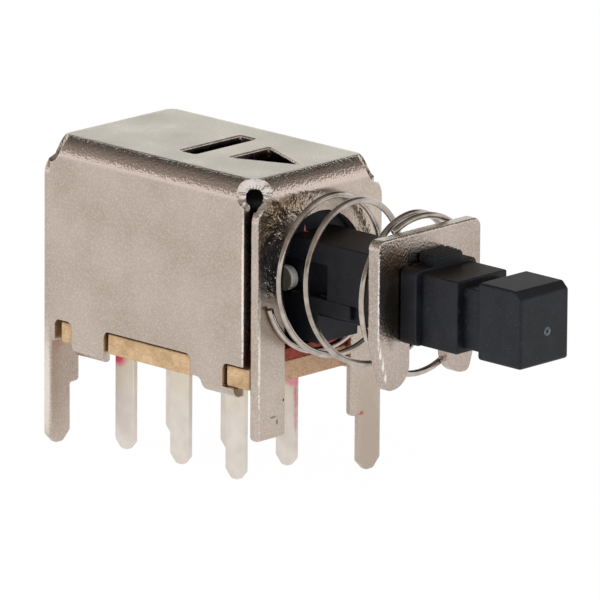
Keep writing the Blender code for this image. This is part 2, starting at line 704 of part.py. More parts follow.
def plunger_side_outline():
    """The plunger's outline seen from its side, in X and Z."""
    low = PLUNGER_LOW_Z
    tip_top = low + TIP_HEIGHT
    neck_low = low + NECK_INSET
    neck_top = neck_low + NECK_HEIGHT
    block_top = low + BLOCK_HEIGHT
    flange_top = low + FLANGE_HEIGHT
    return [(CAM_REAR_X, RAIL_LOW_Z), (FRONT_X + RECESS_REACH, RAIL_LOW_Z),
            (FRONT_X + RECESS_REACH, low), (BLOCK_X, low), (BLOCK_X, neck_low),
            (TIP_REAR_X, neck_low), (TIP_REAR_X, low), (TIP_X, low),
            (TIP_X, tip_top - TIP_CHAMFER), (TIP_X - TIP_CHAMFER, tip_top),
            (TIP_REAR_X, tip_top), (TIP_REAR_X, neck_top), (BLOCK_X, neck_top),
            (BLOCK_X, block_top), (FLANGE_X, block_top), (FLANGE_X, flange_top),
            (FLANGE_REAR_X, flange_top), (FLANGE_REAR_X, SHANK_TOP_Z),
            (FRONT_X, SHANK_TOP_Z), (CAM_FRONT_X, SHANK_TOP_Z), (CAM_REAR_X, SHANK_TOP_Z)]


def plunger_plan_outline():
    """The plunger's outline seen from above, in X and Y."""
    web = RAIL_WIDTH / 2
    shank = SHANK_WIDTH / 2
    half = [(CAM_REAR_X, web), (CAM_FRONT_X, web), (CAM_FRONT_X, shank),
            (GROOVE_REAR_X, shank), (GROOVE_REAR_X, PLATE_NECK_WIDTH / 2 - FIT_GAP),
            (FLANGE_REAR_X, PLATE_NECK_WIDTH / 2 - FIT_GAP),
            (FLANGE_REAR_X, FLANGE_WIDTH / 2), (FLANGE_X, FLANGE_WIDTH / 2),
            (FLANGE_X, BLOCK_WIDTH / 2), (BLOCK_X, BLOCK_WIDTH / 2),
            (BLOCK_X, NECK_WIDTH / 2), (TIP_REAR_X, NECK_WIDTH / 2),
            (TIP_REAR_X, TIP_WIDTH / 2), (TIP_X, TIP_WIDTH / 2)]
    return half + [(u, -v) for u, v in reversed(half)]


def nub_outline():
    """The stepped grip on top of the flange, in X and Z."""
    base_z = PLUNGER_LOW_Z + FLANGE_HEIGHT - MARGIN / 10
    top_z = PLUNGER_LOW_Z + FLANGE_HEIGHT + NUB_HEIGHT
    step_z = top_z - NUB_STEP_DROP
    step_x = FLANGE_X + NUB_STEP_LENGTH
    return [(FLANGE_REAR_X, base_z), (step_x, base_z), (step_x, step_z),
            (FLANGE_X + RUN_GAP, step_z), (FLANGE_X + RUN_GAP, top_z), (FLANGE_REAR_X, top_z)]


def recess_outline():
    """The set-back lower side of the shank below its rib, in X and Z."""
    top = PLUNGER_LOW_Z + RECESS_HEIGHT
    low = PLUNGER_LOW_Z - MARGIN
    rib_low = top - RIB_DROP
    rear = FRONT_X + RECESS_REACH
    rib_end = FRONT_X + RIB_REACH
    return [(rear, low), (GROOVE_REAR_X + MARGIN, low), (GROOVE_REAR_X + MARGIN, top),
            (rib_end, top), (rib_end, rib_low), (rear, rib_low)]


def heart_outline():
    """The heart in the cam track, pointed at the rear and notched at the front."""
    half = HEART_WIDTH / 2
    rear = HEART_X - HEART_LENGTH
    notch = HEART_X - half
    middle = TRACK_SHIFT
    return [(rear, middle), (rear + HEART_WIDTH, middle - half), (HEART_X, middle - half),
            (notch, middle), (HEART_X, middle + half), (rear + HEART_WIDTH, middle + half)]


def cut_cam_track(plunger):
    """Sinks the latch track into the plunger's top and leaves the heart standing."""
    half = TRACK_WIDTH / 2
    track = place("track", block((TRACK_REAR_X, TRACK_SHIFT - half, TRACK_LOW_Z),
                                 (TRACK_FRONT_X, TRACK_SHIFT + half, CAM_TOP_Z + MARGIN)))
    cut(track, prism(heart_outline(), "Z", TRACK_LOW_Z - MARGIN, CAM_TOP_Z + 2 * MARGIN))
    mesh = track.data.copy()
    bpy.data.objects.remove(track, do_unlink=True)
    cut(plunger, mesh)


def cut_contact_pockets(plunger):
    """Cuts the grooves for the sliding contacts and the holes for their springs."""
    rear = CONTACT_REAR_X - FIT_GAP
    front = FRONT_X + POCKET_REACH
    for side in (1, -1):
        inner = side * (CONTACT_INNER_Y - FIT_GAP)
        outer = side * (SHANK_WIDTH / 2 + MARGIN)
        cut(plunger, block((rear, min(inner, outer), POCKET_LOW_Z),
                           (front, max(inner, outer), POCKET_TOP_Z)))
    radius = CROSS_SPRING_DIAMETER / 2 + FIT_GAP
    for middle in cross_spring_places():
        cut(plunger, rod("Y", (middle, CONTACT_Z), radius, -SHANK_WIDTH, SHANK_WIDTH,
                         SMALL_STEPS * 2))


def build_plunger(material):
    """The black moulding from the cam block inside the case to the button tip."""
    side = prism(plunger_side_outline(), "Y", -CASE_WIDTH, CASE_WIDTH)
    plunger = place("plunger", side, material)
    combine(plunger, prism(plunger_plan_outline(), "Z", 0.0, CASE_TOP_Z), "INTERSECT")
    add(plunger, block((CAM_REAR_X, -CAM_HALF, CAM_LOW_Z), (CAM_FRONT_X, CAM_HALF, CAM_TOP_Z)))
    add(plunger, prism(nub_outline(), "Y", -NUB_WIDTH / 2, NUB_WIDTH / 2))
    for direction in (1, -1):
        inner = direction * RECESS_WIDTH / 2
        outer = direction * (SHANK_WIDTH / 2 + FIT_GAP)
        low = min(inner, outer)
        cut(plunger, prism(recess_outline(), "Y", low, max(inner, outer)))
    cut_contact_pockets(plunger)
    cut_cam_track(plunger)
    return on_plunger_axis(finish(plunger))


def contact_places():
    """Lengthwise places of a sliding contact's two bulges."""
    return terminal_x(0), terminal_x(1)


def cross_spring_places():
    """Lengthwise places of the two small springs, beside the bulges."""
    return TERMINAL_X - CROSS_SPRING_SHIFT, MIDDLE_TERMINAL_X + CROSS_SPRING_SHIFT


def bulge(x, side):
    """A shallow round bulge on a sliding contact's outer face."""
    half = CONTACT_BULGE_WIDTH / 2
    radius = (half ** 2 + CONTACT_BULGE ** 2) / (2 * CONTACT_BULGE)
    shape = bmesh.new()
    bmesh.ops.create_uvsphere(shape, u_segments=SMALL_STEPS * 2, v_segments=SMALL_STEPS,
                              radius=radius)
    place_y = side * (CONTACT_TIP_Y - radius)
    bmesh.ops.rotate(shape, verts=shape.verts, matrix=Matrix.Rotation(pi / 2, 3, "X"))
    bmesh.ops.translate(shape, verts=shape.verts, vec=Vector((x, place_y, CONTACT_Z)))
    return to_mesh(shape)


def build_contacts(material):
    """Two flat contacts with rounded ends, one on each side of the plunger."""
    half = CONTACT_HEIGHT / 2
    front = CONTACT_X - half
    rear = CONTACT_REAR_X + half
    outline = arc(front, CONTACT_Z, half, -90, 90, SMALL_STEPS * 2)
    outline += arc(rear, CONTACT_Z, half, 90, 270, SMALL_STEPS * 2)
    for row, side in (("near", -1), ("far", 1)):
        inner = side * CONTACT_INNER_Y
        outer = side * CONTACT_OUTER_Y
        mesh = prism(outline, "Y", min(inner, outer), max(inner, outer))
        contact = place(f"sliding_contact_{row}", mesh, material)
        trim = block((rear - MARGIN, min(side * MARGIN / 4, inner), POCKET_LOW_Z),
                     (CONTACT_X, max(side * MARGIN / 4, inner), POCKET_TOP_Z))
        for middle in contact_places():
            add(contact, bulge(middle, side))
        cut(contact, trim)
        on_plunger_axis(finish(contact))


def wire(name, points, thickness, material):
    """A closed round wire that follows a path of points."""
    curve = bpy.data.curves.new(name, "CURVE")
    curve.dimensions = "3D"
    curve.bevel_depth = thickness / 2
    curve.bevel_resolution = WIRE_SIDES
    curve.use_fill_caps = True
    curve.twist_mode = "MINIMUM"
    spline = curve.splines.new("POLY")
    spline.points.add(len(points) - 1)
    for target, point in zip(spline.points, points):
        target.co = (*point, 1.0)
    path = bpy.data.objects.new("path", curve)
    bpy.context.scene.collection.objects.link(path)
    graph = bpy.context.evaluated_depsgraph_get()
    mesh = bpy.data.meshes.new_from_object(path.evaluated_get(graph))
    bpy.data.objects.remove(path, do_unlink=True)
    shape = bmesh.new()
    shape.from_mesh(mesh)
    bmesh.ops.remove_doubles(shape, verts=shape.verts, dist=thickness / 1000)
    mesh = to_mesh(shape)
    mesh.materials.clear()
    return finish(place(name, mesh, material))


def build_cross_springs(material):
    """Two small coil springs across the plunger, between the sliding contacts."""
    radius = (CROSS_SPRING_DIAMETER - CROSS_SPRING_WIRE) / 2
    reach = CONTACT_INNER_Y - CROSS_SPRING_WIRE / 2 - FIT_GAP / 2
    count = CROSS_SPRING_TURNS * CROSS_SPRING_STEPS
    names = ("cross_spring_front", "cross_spring_rear")
    for name, middle in zip(names, cross_spring_places()):
        points = []
        for step in range(count + 1):
            angle = 2 * pi * step / CROSS_SPRING_STEPS
            along = -reach + 2 * reach * step / count
            points.append((middle + radius * cos(angle), along,
                           CONTACT_Z + radius * sin(angle)))
        on_plunger_axis(wire(name, points, CROSS_SPRING_WIRE, material))


def plate_outline():
    """The retaining plate seen from the front, in Y and Z."""
    half = PLATE_WIDTH / 2
    top = PLATE_TOP_Z
    slot = PLATE_NECK_WIDTH / 2
    slot_top = SHANK_TOP_Z
    foot = PLATE_FOOT_WIDTH
    outer = slot + foot
    low = SEAT_Z + PLATE_FOOT_RISE
    shoulder = top - PLATE_SHOULDER_DROP
    side = arc(half - PLATE_CORNER, top - PLATE_CORNER, PLATE_CORNER, 90, 0, BEND_STEPS)
    side += [(half, shoulder), (outer, shoulder - (half - outer))]
    side += arc(slot + foot / 2, low + foot / 2, foot / 2, 0, -180, SMALL_STEPS * 2)
    side += [(slot, slot_top)]
    return side + mirrored(side)


def build_plate(material):
    """The retaining plate that holds the return spring on the plunger."""
    plate = place("retaining_plate", prism(plate_outline(), "X", PLATE_REAR_X, PLATE_X), material)
    return on_plunger_axis(finish(plate))


def spring_rise(turn):
    """Share of the spring's length reached after a number of turns."""
    for (turn_low, low), (turn_high, high) in zip(SPRING_KNOTS, SPRING_KNOTS[1:]):
        if turn <= turn_high:
            return low + (high - low) * max(turn - turn_low, 0.0) / (turn_high - turn_low)
    return 1.0


def smooth_rise(turn):
    """The rise averaged over half a turn, so that the pitch changes gently."""
    shares = [spring_rise(turn + step * 0.05) for step in range(-5, 6)]
    return sum(shares) / len(shares)


def build_return_spring(material):
    """The open coil spring between the front panel and the retaining plate."""
    radius = (SPRING_DIAMETER - SPRING_WIRE) / 2
    low = FRONT_X + SPRING_WIRE / 2 + FIT_GAP / 5
    high = PLATE_REAR_X - SPRING_WIRE / 2 - FIT_GAP / 5
    count = round(SPRING_TURNS * SPRING_STEPS)
    points = []
    for step in range(count + 1):
        turn = SPRING_TURNS * step / count
        angle = 2 * pi * (SPRING_START + turn)
        along = low + (high - low) * smooth_rise(turn)
        points.append((along, radius * cos(angle), AXIS_Z + radius * sin(angle)))
    return wire("return_spring", points, SPRING_WIRE, material)


def build_latch_pin(material):
    """The bent wire that swings in the cam track and holds the plunger in."""
    tip_x = LATCH_TIP_X
    bend = LATCH_BEND
    rear = arc(PIVOT_X + bend, LATCH_Z + bend, bend, 180, 270, BEND_STEPS)
    front = arc(tip_x - bend, LATCH_Z - bend, bend, 90, 0, BEND_STEPS)
    path = [(PIVOT_X, SHELF_TOP_Z)] + rear + front
    path += [(tip_x, TRACK_LOW_Z + RUN_GAP)]
    points = [(u, 0.0, v) for u, v in path]
    return turn_about(wire("latch_pin", points, LATCH_WIRE, material), (PIVOT_X, 0.0, LATCH_Z))


def build_leaf(material):
    """The thin strip under the case top that presses on the latch pin."""
    rear = PIVOT_X + LEAF_SPACE
    front = rear + LEAF_LENGTH
    bend = front - LEAF_SLOPE_LENGTH
    low = LATCH_Z + LATCH_WIRE / 2 + FIT_GAP
    outline = [(rear, CEILING_Z - LEAF_SHEET), (bend, CEILING_Z - LEAF_SHEET), (front, low),
               (front, low + LEAF_SHEET), (bend, CEILING_Z), (rear, CEILING_Z)]
    half = LEAF_WIDTH / 2
    return finish(place("latch_leaf", prism(outline, "Y", -half, half), material))


def main():
    """Builds the whole switch."""
    clear_scene()
    build_case(nickel())
    build_board(phenolic_board())
    build_base(red_moulding())
    build_terminals(terminal_silver())
    build_plunger(black_moulding())
    build_contacts(contact_silver())
    wire_material = spring_wire()
    build_cross_springs(wire_material)
    build_plate(plate_nickel())
    build_return_spring(wire_material)
    build_latch_pin(latch_wire())
    build_leaf(leaf_steel())


main()
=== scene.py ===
"""Dresses the frame of a latching push switch in a folded nickel-plated case.

Pieces are modelled in millimetres, where the frame has them, and turned to metres when they
are finished. The switch lies along X with its button at +X, and stands on its pins.
"""

import logging
from dataclasses import dataclass, field
from enum import Enum
from math import atan2, ceil, cos, hypot, pi, radians, sin, tan

import bmesh
import bpy
from mathutils import Matrix, Vector
from mathutils import noise as smooth_noise


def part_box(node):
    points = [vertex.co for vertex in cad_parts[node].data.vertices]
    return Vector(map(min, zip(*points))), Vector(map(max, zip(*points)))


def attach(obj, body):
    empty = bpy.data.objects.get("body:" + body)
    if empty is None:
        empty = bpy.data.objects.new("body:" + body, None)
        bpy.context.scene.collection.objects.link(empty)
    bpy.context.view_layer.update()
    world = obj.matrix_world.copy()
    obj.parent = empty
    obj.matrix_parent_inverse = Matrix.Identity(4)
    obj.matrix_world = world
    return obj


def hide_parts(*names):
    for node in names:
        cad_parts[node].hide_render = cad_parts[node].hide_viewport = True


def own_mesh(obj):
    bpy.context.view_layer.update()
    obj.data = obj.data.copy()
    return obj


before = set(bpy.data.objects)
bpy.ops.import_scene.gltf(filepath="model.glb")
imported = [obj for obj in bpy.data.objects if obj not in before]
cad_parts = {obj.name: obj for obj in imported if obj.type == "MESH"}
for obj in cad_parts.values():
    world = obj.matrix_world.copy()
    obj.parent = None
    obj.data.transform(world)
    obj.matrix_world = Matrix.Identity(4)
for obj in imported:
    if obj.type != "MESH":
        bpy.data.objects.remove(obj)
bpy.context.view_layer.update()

MM = 0.001
LOG = logging.getLogger("push_switch")

Corner = tuple[float, float, float]
Colour = tuple[float, float, float, float]
Spot = tuple[Corner, Corner]
Mark = tuple[Corner, Corner, str]
Shape = bmesh.types.BMesh
Material = bpy.types.Material
Object = bpy.types.Object
Socket = bpy.types.NodeSocket

WHITE: Colour = (1.0, 1.0, 1.0, 1.0)
TERMINALS = (-3.875, -7.635, -11.395)
TERMINAL_ROW = 1.75
SLOT_HALF_X, SLOT_HALF_Y = 0.9, 0.2
PLUNGER_AXIS = 10.78
TOP_CORNERS = ((1, 1), (1, -1), (-1, 1), (-1, -1))
Z_TO_X = Matrix.Rotation(pi / 2, 3, "Y")


class Axis(Enum):
    """Direction in which a flat outline is given its thickness."""

    X = 0
    Y = 1
    Z = 2


class Side(Enum):
    """Long sides of the switch, as a sign of Y."""

    NEAR = -1
    FAR = 1


class Body(Enum):
    """Bodies of the frame that new pieces ride on."""

    CASE = "case"
    PLUNGER = "plunger"


# Colours and nodes


def linear(code: str) -> Colour:
    """Turns an sRGB hex colour into linear light.

    Args:
        code: Six hex digits with a leading sign.

    Returns:
        Red, green and blue in linear light, and full opacity.
    """
    channels = [int(code[place:place + 2], 16) / 255 for place in (1, 3, 5)]
    light = [c / 12.92 if c <= 0.04045 else ((c + 0.055) / 1.055) ** 2.4 for c in channels]
    return light[0], light[1], light[2], 1.0


def per_mm(size: float) -> float:
    """Scale that gives a pattern features of a size in millimetres on metre coordinates.

    Args:
        size: Feature size in millimetres.

    Returns:
        The pattern's scale.
    """
    return 1.0 / (size * MM)


def node(tree: bpy.types.NodeTree, kind: str, settings: dict | None = None) -> bpy.types.Node:
    """Adds one node and sets it up.

    Args:
        tree: Node tree that takes the node.
        kind: Type name of the node, without the start that all of them share.
        settings: Values by attribute name, and values or output sockets by input.

    Returns:
        The new node.
    """
    item = tree.nodes.new("ShaderNode" + kind)
    for key, value in (settings or {}).items():
        if isinstance(value, Socket):
            tree.links.new(value, item.inputs[key])
        elif isinstance(key, str) and hasattr(item, key):
            setattr(item, key, value)
        else:
            item.inputs[key].default_value = value
    return item


class Graph:
    """Emptied node tree of a material or a world, with the steps that several of them use."""

    def __init__(self, owner: Material | bpy.types.World) -> None:
        """Starts with no node at all.

        Args:
            owner: Material or world whose nodes are made.
        """
        owner.use_nodes = True
        self.tree = owner.node_tree
        self.tree.nodes.clear()

    def maths(self, operation: str, *values: float | Socket) -> Socket:
        """Works out one number from others.

        Args:
            operation: Name of the operation.
            values: Numbers or sockets, in the node's order.

        Returns:
            The result.
        """
        settings = {"operation": operation, **dict(enumerate(values))}
        return node(self.tree, "Math", settings).outputs[0]

    def spread(self, value: Socket, start: float, end: float, low: float = 0.0,
               high: float | Socket = 1.0) -> Socket:
        """Spreads a range of values over another, and holds it at both ends.

        Args:
            value: Value that is spread.
            start: Value that gives the low result.
            end: Value that gives the high result.
            low: Result at the start.
            high: Result at the end.

        Returns:
            The result.
        """
        return node(self.tree, "MapRange", {0: value, 1: start, 2: end, 3: low,
                                            4: high}).outputs[0]

    def blend(self, share: Socket, low: str, high: str, start: float = 0.35,
              end: float = 0.65) -> Socket:
        """Turns a pattern's value into a colour between two.

        Args:
            share: Pattern value between nought and one.
            low: Hex colour at and below the start value.
            high: Hex colour at and above the end value.
            start: Value where the change begins.
            end: Value where the change is complete.

        Returns:
            The colour.
        """
        ramp = node(self.tree, "ValToRGB", {"Fac": share})
        for stop, place, code in zip(ramp.color_ramp.elements, (start, end), (low, high)):
            stop.position = place
            stop.color = linear(code)
        return ramp.outputs["Color"]

    def shown(self) -> Socket:
        """Tells the rays that show a thing from those that only light the switch.

        Returns:
            One for camera, mirrored and transmitted rays, and nought for the others.
        """
        ray = node(self.tree, "LightPath").outputs
        seen = self.maths("MAXIMUM", ray["Is Camera Ray"], ray["Is Glossy Ray"])
        return self.maths("MAXIMUM", seen, ray["Is Transmission Ray"])


class Recipe(Graph):
    """Material in the making, with its shader and its object coordinates."""

    def __init__(self, name: str, roughness: float, metallic: float = 0.0,
                 specular: float = 0.5) -> None:
        """Starts the material.

        Args:
            name: Name of the material.
            roughness: Roughness where nothing else drives it.
            metallic: One for metal and nought for anything else.
            specular: Strength of the mirroring of anything but metal.
        """
        self.material = bpy.data.materials.new(name)
        super().__init__(self.material)
        self.shader = node(self.tree, "BsdfPrincipled", {
            "Roughness": roughness, "Metallic": metallic, "Specular IOR Level": specular})
        node(self.tree, "OutputMaterial", {"Surface": self.shader.outputs[0]})
        self.place = node(self.tree, "TexCoord").outputs["Object"]

    def noise(self, size: float, detail: float, place: Socket | None = None,
              roughness: float = 0.5) -> Socket:
        """Cloudy noise in the material.

        Args:
            size: Size of its features in millimetres.
            detail: Number of finer layers.
            place: Coordinates, or the object's own.
            roughness: Share of each finer layer.

        Returns:
            Noise between nought and one.
        """
        return node(self.tree, "TexNoise", {
            "Vector": self.place if place is None else place, "Scale": per_mm(size),
            "Detail": detail, "Roughness": roughness}).outputs["Fac"]

    def drawn_out(self, scale: Corner) -> Socket:
        """Coordinates that draw a pattern out.

        Args:
            scale: Share by which patterns grow along X, Y and Z.

        Returns:
            The coordinates.
        """
        return node(self.tree, "Mapping", {"vector_type": "TEXTURE", "Scale": scale,
                                           "Vector": self.place}).outputs[0]

    def split(self, vector: Socket) -> bpy.types.NodeOutputs:
        """Splits a vector into its three numbers."""
        return node(self.tree, "SeparateXYZ", {0: vector}).outputs

    def facing(self, kind: str = "Normal") -> bpy.types.NodeOutputs:
        """Direction that the surface faces.

        Args:
            kind: Smoothed normal, or the face's true one.

        Returns:
            Its shares along X, Y and Z.
        """
        return self.split(node(self.tree, "NewGeometry").outputs[kind])

    def spot(self, middle: Corner, reach: Corner, raggedness: float = 0.0) -> Socket:
        """Masks a soft spot around a point of the switch.

        Args:
            middle: Middle of the spot in millimetres.
            reach: Half sizes of the spot along X, Y and Z in millimetres.
            raggedness: How far noise moves the spot's rim, as a share of its reach.

        Returns:
            A socket that is one in the spot and nought outside it.
        """
        shifted = node(self.tree, "VectorMath", {"operation": "SUBTRACT", 0: self.place,
                                                 1: [v * MM for v in middle]})
        scaled = node(self.tree, "VectorMath", {"operation": "MULTIPLY",
                                                0: shifted.outputs[0],
                                                1: [per_mm(v) for v in reach]})
        distance = node(self.tree, "VectorMath", {"operation": "LENGTH",
                                                  0: scaled.outputs[0]}).outputs["Value"]
        if raggedness:
            distance = self.maths("MULTIPLY_ADD", self.noise(min(reach) * 1.2, 2.0),
                                  raggedness, distance)
        return self.spread(distance, 1.0 + raggedness / 2, 0.5 + raggedness / 2)

    def tint(self, base: Socket, share: Socket, code: str) -> Socket:
        """Lays a colour over another by a mask.

        Args:
            base: Colour under it.
            share: Mask between nought and one.
            code: Hex colour that is laid over.

        Returns:
            The mixed colour.
        """
        return node(self.tree, "Mix", {"data_type": "RGBA", 0: share, 6: base,
                                       7: linear(code)}).outputs[2]

    def marked(self, base: Socket, marks: tuple[Mark, ...], raggedness: float) -> Socket:
        """Lays soft spots over a colour.

        Args:
            base: Colour under them.
            marks: Middle, half sizes and hex colour of each spot.
            raggedness: How far noise moves their rims.

        Returns:
            The marked colour.
        """
        for middle, reach, code in marks:
            base = self.tint(base, self.spot(middle, reach, raggedness), code)
        return base

    def bump(self, height: Socket, rise: float, strength: float | Socket = 1.0,
             under: Socket | None = None) -> Socket:
        """Raises the surface by a pattern.

        Args:
            height: Pattern between nought and one.
            rise: Height of the pattern in millimetres.
            strength: Share of it that shows.
            under: Normal of the layer under it.

        Returns:
            The new normal.
        """
        settings = {"Height": height, "Distance": rise * MM, "Strength": strength}
        if under is not None:
            settings["Normal"] = under
        return node(self.tree, "Bump", settings).outputs["Normal"]

    def finished(self, colour: Socket, normal: Socket | None = None,
                 roughness: Socket | None = None) -> Material:
        """Links the patterns to the shader.

        Args:
            colour: Colour of the material.
            normal: Raised surface, or none.
            roughness: Pattern of the roughness, or none.

        Returns:
            The material.
        """
        for name, source in (("Base Color", colour), ("Normal", normal),
                             ("Roughness", roughness)):
            if source is not None:
                self.tree.links.new(source, self.shader.inputs[name])
        return self.material


# Finishes


@dataclass(frozen=True)
class SatinNickel:
    """Matt nickel plate over rolled steel sheet.

    The plate gives a warm grey with fine grain from the blasted sheet, soft mottling from the
    handling of the bath, and orange peel where the sheet was stretched in a bend. Light is
    also painted into the colour: a pinkish tone on faces that tilt upwards, a paler tone on
    flat tops, and highlights along some edges.
    """

    name: str = "satin_nickel_plate"
    light: str = "#bfb0a4"
    dark: str = "#b1a295"
    # painted light: paler tone painted on flat tops
    painted_top_tone: str = "#cdc6b4"
    roughness: float = 0.29
    bend_polish: float = 0.11
    grain: float = 0.075
    grain_height: float = 0.006
    peel: float = 0.13
    peel_height: float = 0.035
    mottle: float = 2.6
    speck: float = 0.1
    fleck: str = "#ece6de"
    fleck_share: float = 0.24
    fleck_above: float = 0.22
    # painted highlight colour, laid along the spots listed in edges
    painted_edge_highlight: str = "#ebe5dc"
    # painted light: pinkish tone painted on faces that tilt upwards
    painted_upward_tone: str = "#dac8bf"
    crumple: float = 0.5
    crumple_height: float = 0.1
    crumpled: tuple[Spot, ...] = ()
    # colour spots: scratches, and painted shade, reflections and highlights
    marks: tuple[Mark, ...] = ()
    # spots along edges that get the painted highlight colour
    edges: tuple[Spot, ...] = ()

    def build(self) -> Material:
        """Builds the material.

        Returns:
            Nickel plate with grain, mottling and rough bends, with painted top tones and
            painted edge highlights.
        """
        plate = Recipe(self.name, self.roughness, 1.0)
        mottle = plate.noise(self.mottle, 3.0)
        colour = plate.blend(mottle, self.dark, self.light)
        rise = plate.facing()[2]
        upward = plate.spread(rise, 0.8, 0.98)
        # painted light: pinkish on faces that tilt upwards, paler on flat tops
        colour = plate.tint(colour, plate.spread(rise, 0.02, 0.12, 0.0, 0.7), self.painted_upward_tone)
        colour = plate.tint(colour, upward, self.painted_top_tone)
        amount = plate.maths("MULTIPLY_ADD", upward, self.fleck_above, self.fleck_share)
        flecks = plate.spread(plate.noise(self.speck, 1.0), 0.42, 0.72, 0.0, amount)
        colour = plate.tint(colour, flecks, self.fleck)
        # scratches and painted shade, reflections and highlights
        colour = plate.marked(colour, self.marks, 0.5)
        # painted edge highlights
        colour = plate.marked(colour, tuple((*edge, self.painted_edge_highlight) for edge in self.edges), 1.6)
        normal = plate.bump(plate.noise(self.grain, 2.0), self.grain_height)
        bent = self.bend_share(plate)
        for middle, reach in self.crumpled:
            share = plate.spot(middle, reach, 0.8)
            bent = plate.maths("MAXIMUM", bent, share)
            normal = plate.bump(plate.noise(self.crumple, 2.0), self.crumple_height, share,
                                normal)
        normal = plate.bump(plate.noise(self.peel, 1.5), self.peel_height, bent, normal)
        uneven = plate.spread(mottle, 0.3, 0.7, self.roughness - 0.03, self.roughness + 0.05)
        smoother = plate.maths("MULTIPLY_ADD", bent, -self.bend_polish, uneven)
        return plate.finished(colour, normal, smoother)

    @staticmethod
    def bend_share(plate: Recipe) -> Socket:
        """Share of orange peel, which is full where the sheet faces between two axes.

        Args:
            plate: The material.

        Returns:
            The share.
        """
        along, across, up = (plate.maths("ABSOLUTE", part)
                             for part in plate.facing("True Normal"))
        largest = plate.maths("MAXIMUM", plate.maths("MAXIMUM", along, across), up)
        return plate.spread(largest, 0.9996, 0.96)


@dataclass(frozen=True)
class DrawnWire:
    """Bright spring steel wire, drawn through a die and left with fine lengthwise lines."""

    name: str = "bright_drawn_wire"
    light: str = "#c0b6ae"
    dark: str = "#8a8078"
    roughness: float = 0.16
    cloud: float = 0.9
    speck: float = 0.12
    speck_height: float = 0.004

    def build(self) -> Material:
        """Builds the material.

        Returns:
            Bright wire with small pits and slightly uneven tone.
        """
        wire = Recipe(self.name, self.roughness, 1.0)
        colour = wire.blend(wire.noise(self.cloud, 4.0), self.dark, self.light, 0.25, 0.6)
        return wire.finished(colour, wire.bump(wire.noise(self.speck, 2.0),
                                               self.speck_height, 0.8))


@dataclass(frozen=True)
class MattSilver:
    """Matt silver plate on stamped brass, ivory from a thin tarnish, with dye marks."""

    name: str = "matt_silver_plate"
    light: str = "#e6ddd5"
    dark: str = "#dad1c7"
    roughness: float = 0.42
    cloud: float = 0.9
    grain: float = 0.14
    grain_height: float = 0.003
    tarnish: str = "#dfd3b6"
    tarnish_low: float = 3.4
    tarnish_high: float = 5.4
    marks: tuple[Mark, ...] = ()

    def build(self) -> Material:
        """Builds the material.

        Returns:
            Silver plate that yellows towards the board.
        """
        silver = Recipe(self.name, self.roughness, 1.0)
        cloud = silver.noise(self.cloud, 3.0)
        colour = silver.blend(cloud, self.dark, self.light)
        height = silver.maths("MULTIPLY_ADD", cloud, 1.2 * MM, silver.split(silver.place)[2])
        colour = silver.tint(colour, silver.spread(height, self.tarnish_low * MM,
                                                   self.tarnish_high * MM, 0.0, 0.6),
                             self.tarnish)
        colour = silver.marked(colour, self.marks, 0.6)
        return silver.finished(colour, silver.bump(silver.noise(self.grain, 2.0),
                                                   self.grain_height, 0.7))


@dataclass(frozen=True)
class BlackAcetal:
    """Black acetal from a spark-eroded mould, matt with a faint blue cast and fine grit, with
    painted glints and a darker tone painted on its tops.
    """

    name: str = "black_moulded_acetal"
    light: str = "#14161d"
    dark: str = "#0b0c12"
    # painted shade: darker tone painted on upward faces
    painted_top_tone: str = "#0e0a08"
    glint: str = "#5a5f66"
    roughness: float = 0.5
    slivers: tuple[Mark, ...] = (((-0.67, -0.46, 12.75), (0.3, 0.07, 0.34), "#d08a6a"),)
    cloud: float = 0.7
    # size of pale specks painted as dust and glints
    dust_and_glint: float = 0.06
    grit: float = 0.11
    grit_height: float = 0.012

    def build(self) -> Material:
        """Builds the material.

        Returns:
            Matt black plastic with a fine grit, pale specks painted as dust and glints, and a
            darker painted top.
        """
        acetal = Recipe(self.name, self.roughness, specular=0.31)
        colour = acetal.blend(acetal.noise(self.cloud, 4.0), self.dark, self.light, 0.3, 0.7)
        # pale specks painted as dust and glints
        dust_and_glint = acetal.spread(acetal.noise(self.dust_and_glint, 1.0), 0.68, 0.84, 0.0, 0.7)
        upward = acetal.spread(acetal.facing()[2], 0.7, 0.95)
        # darker painted top, then the painted dust and glint specks
        colour = acetal.tint(colour, upward, self.painted_top_tone)
        colour = acetal.tint(colour, dust_and_glint, self.glint)
        colour = acetal.marked(colour, self.slivers, 0.0)
        return acetal.finished(colour, acetal.bump(acetal.noise(self.grit, 3.0),
                                                   self.grit_height, 0.6))


@dataclass(frozen=True)
class PhenolicPaper:
    """Phenolic resin board with paper fibres, tan and a little pinker on faces that look
    forward along X.
    """

    name: str = "phenolic_paper_board"
    light: str = "#bfa17d"
    dark: str = "#9c805c"
    fleck: str = "#7d6446"
    forward_face_tone: str = "#d6ae8e"
    roughness: float = 0.8
    cloud: float = 0.8
    fibre: float = 0.075
    fibre_height: float = 0.012

    def build(self) -> Material:
        """Builds the material.

        Returns:
            Tan board with clouds, fibres, a rough surface and a pinker tone on forward-facing
            faces.
        """
        board = Recipe(self.name, self.roughness)
        cloud = board.noise(self.cloud, 5.0, roughness=0.65)
        colour = board.blend(cloud, self.dark, self.light, 0.3, 0.62)
        fibres = board.noise(self.fibre, 3.0, board.drawn_out((2.2, 2.2, 0.8)))
        # pinker tone on faces that look forward along X
        ends = board.spread(board.facing()[0], 0.5, 0.9, 0.0, 0.6)
        colour = board.tint(colour, ends, self.forward_face_tone)
        colour = board.tint(colour, board.spread(fibres, 0.5, 0.7, 0.0, 0.6), self.fleck)
        return board.finished(colour, board.bump(fibres, self.fibre_height, 0.7))


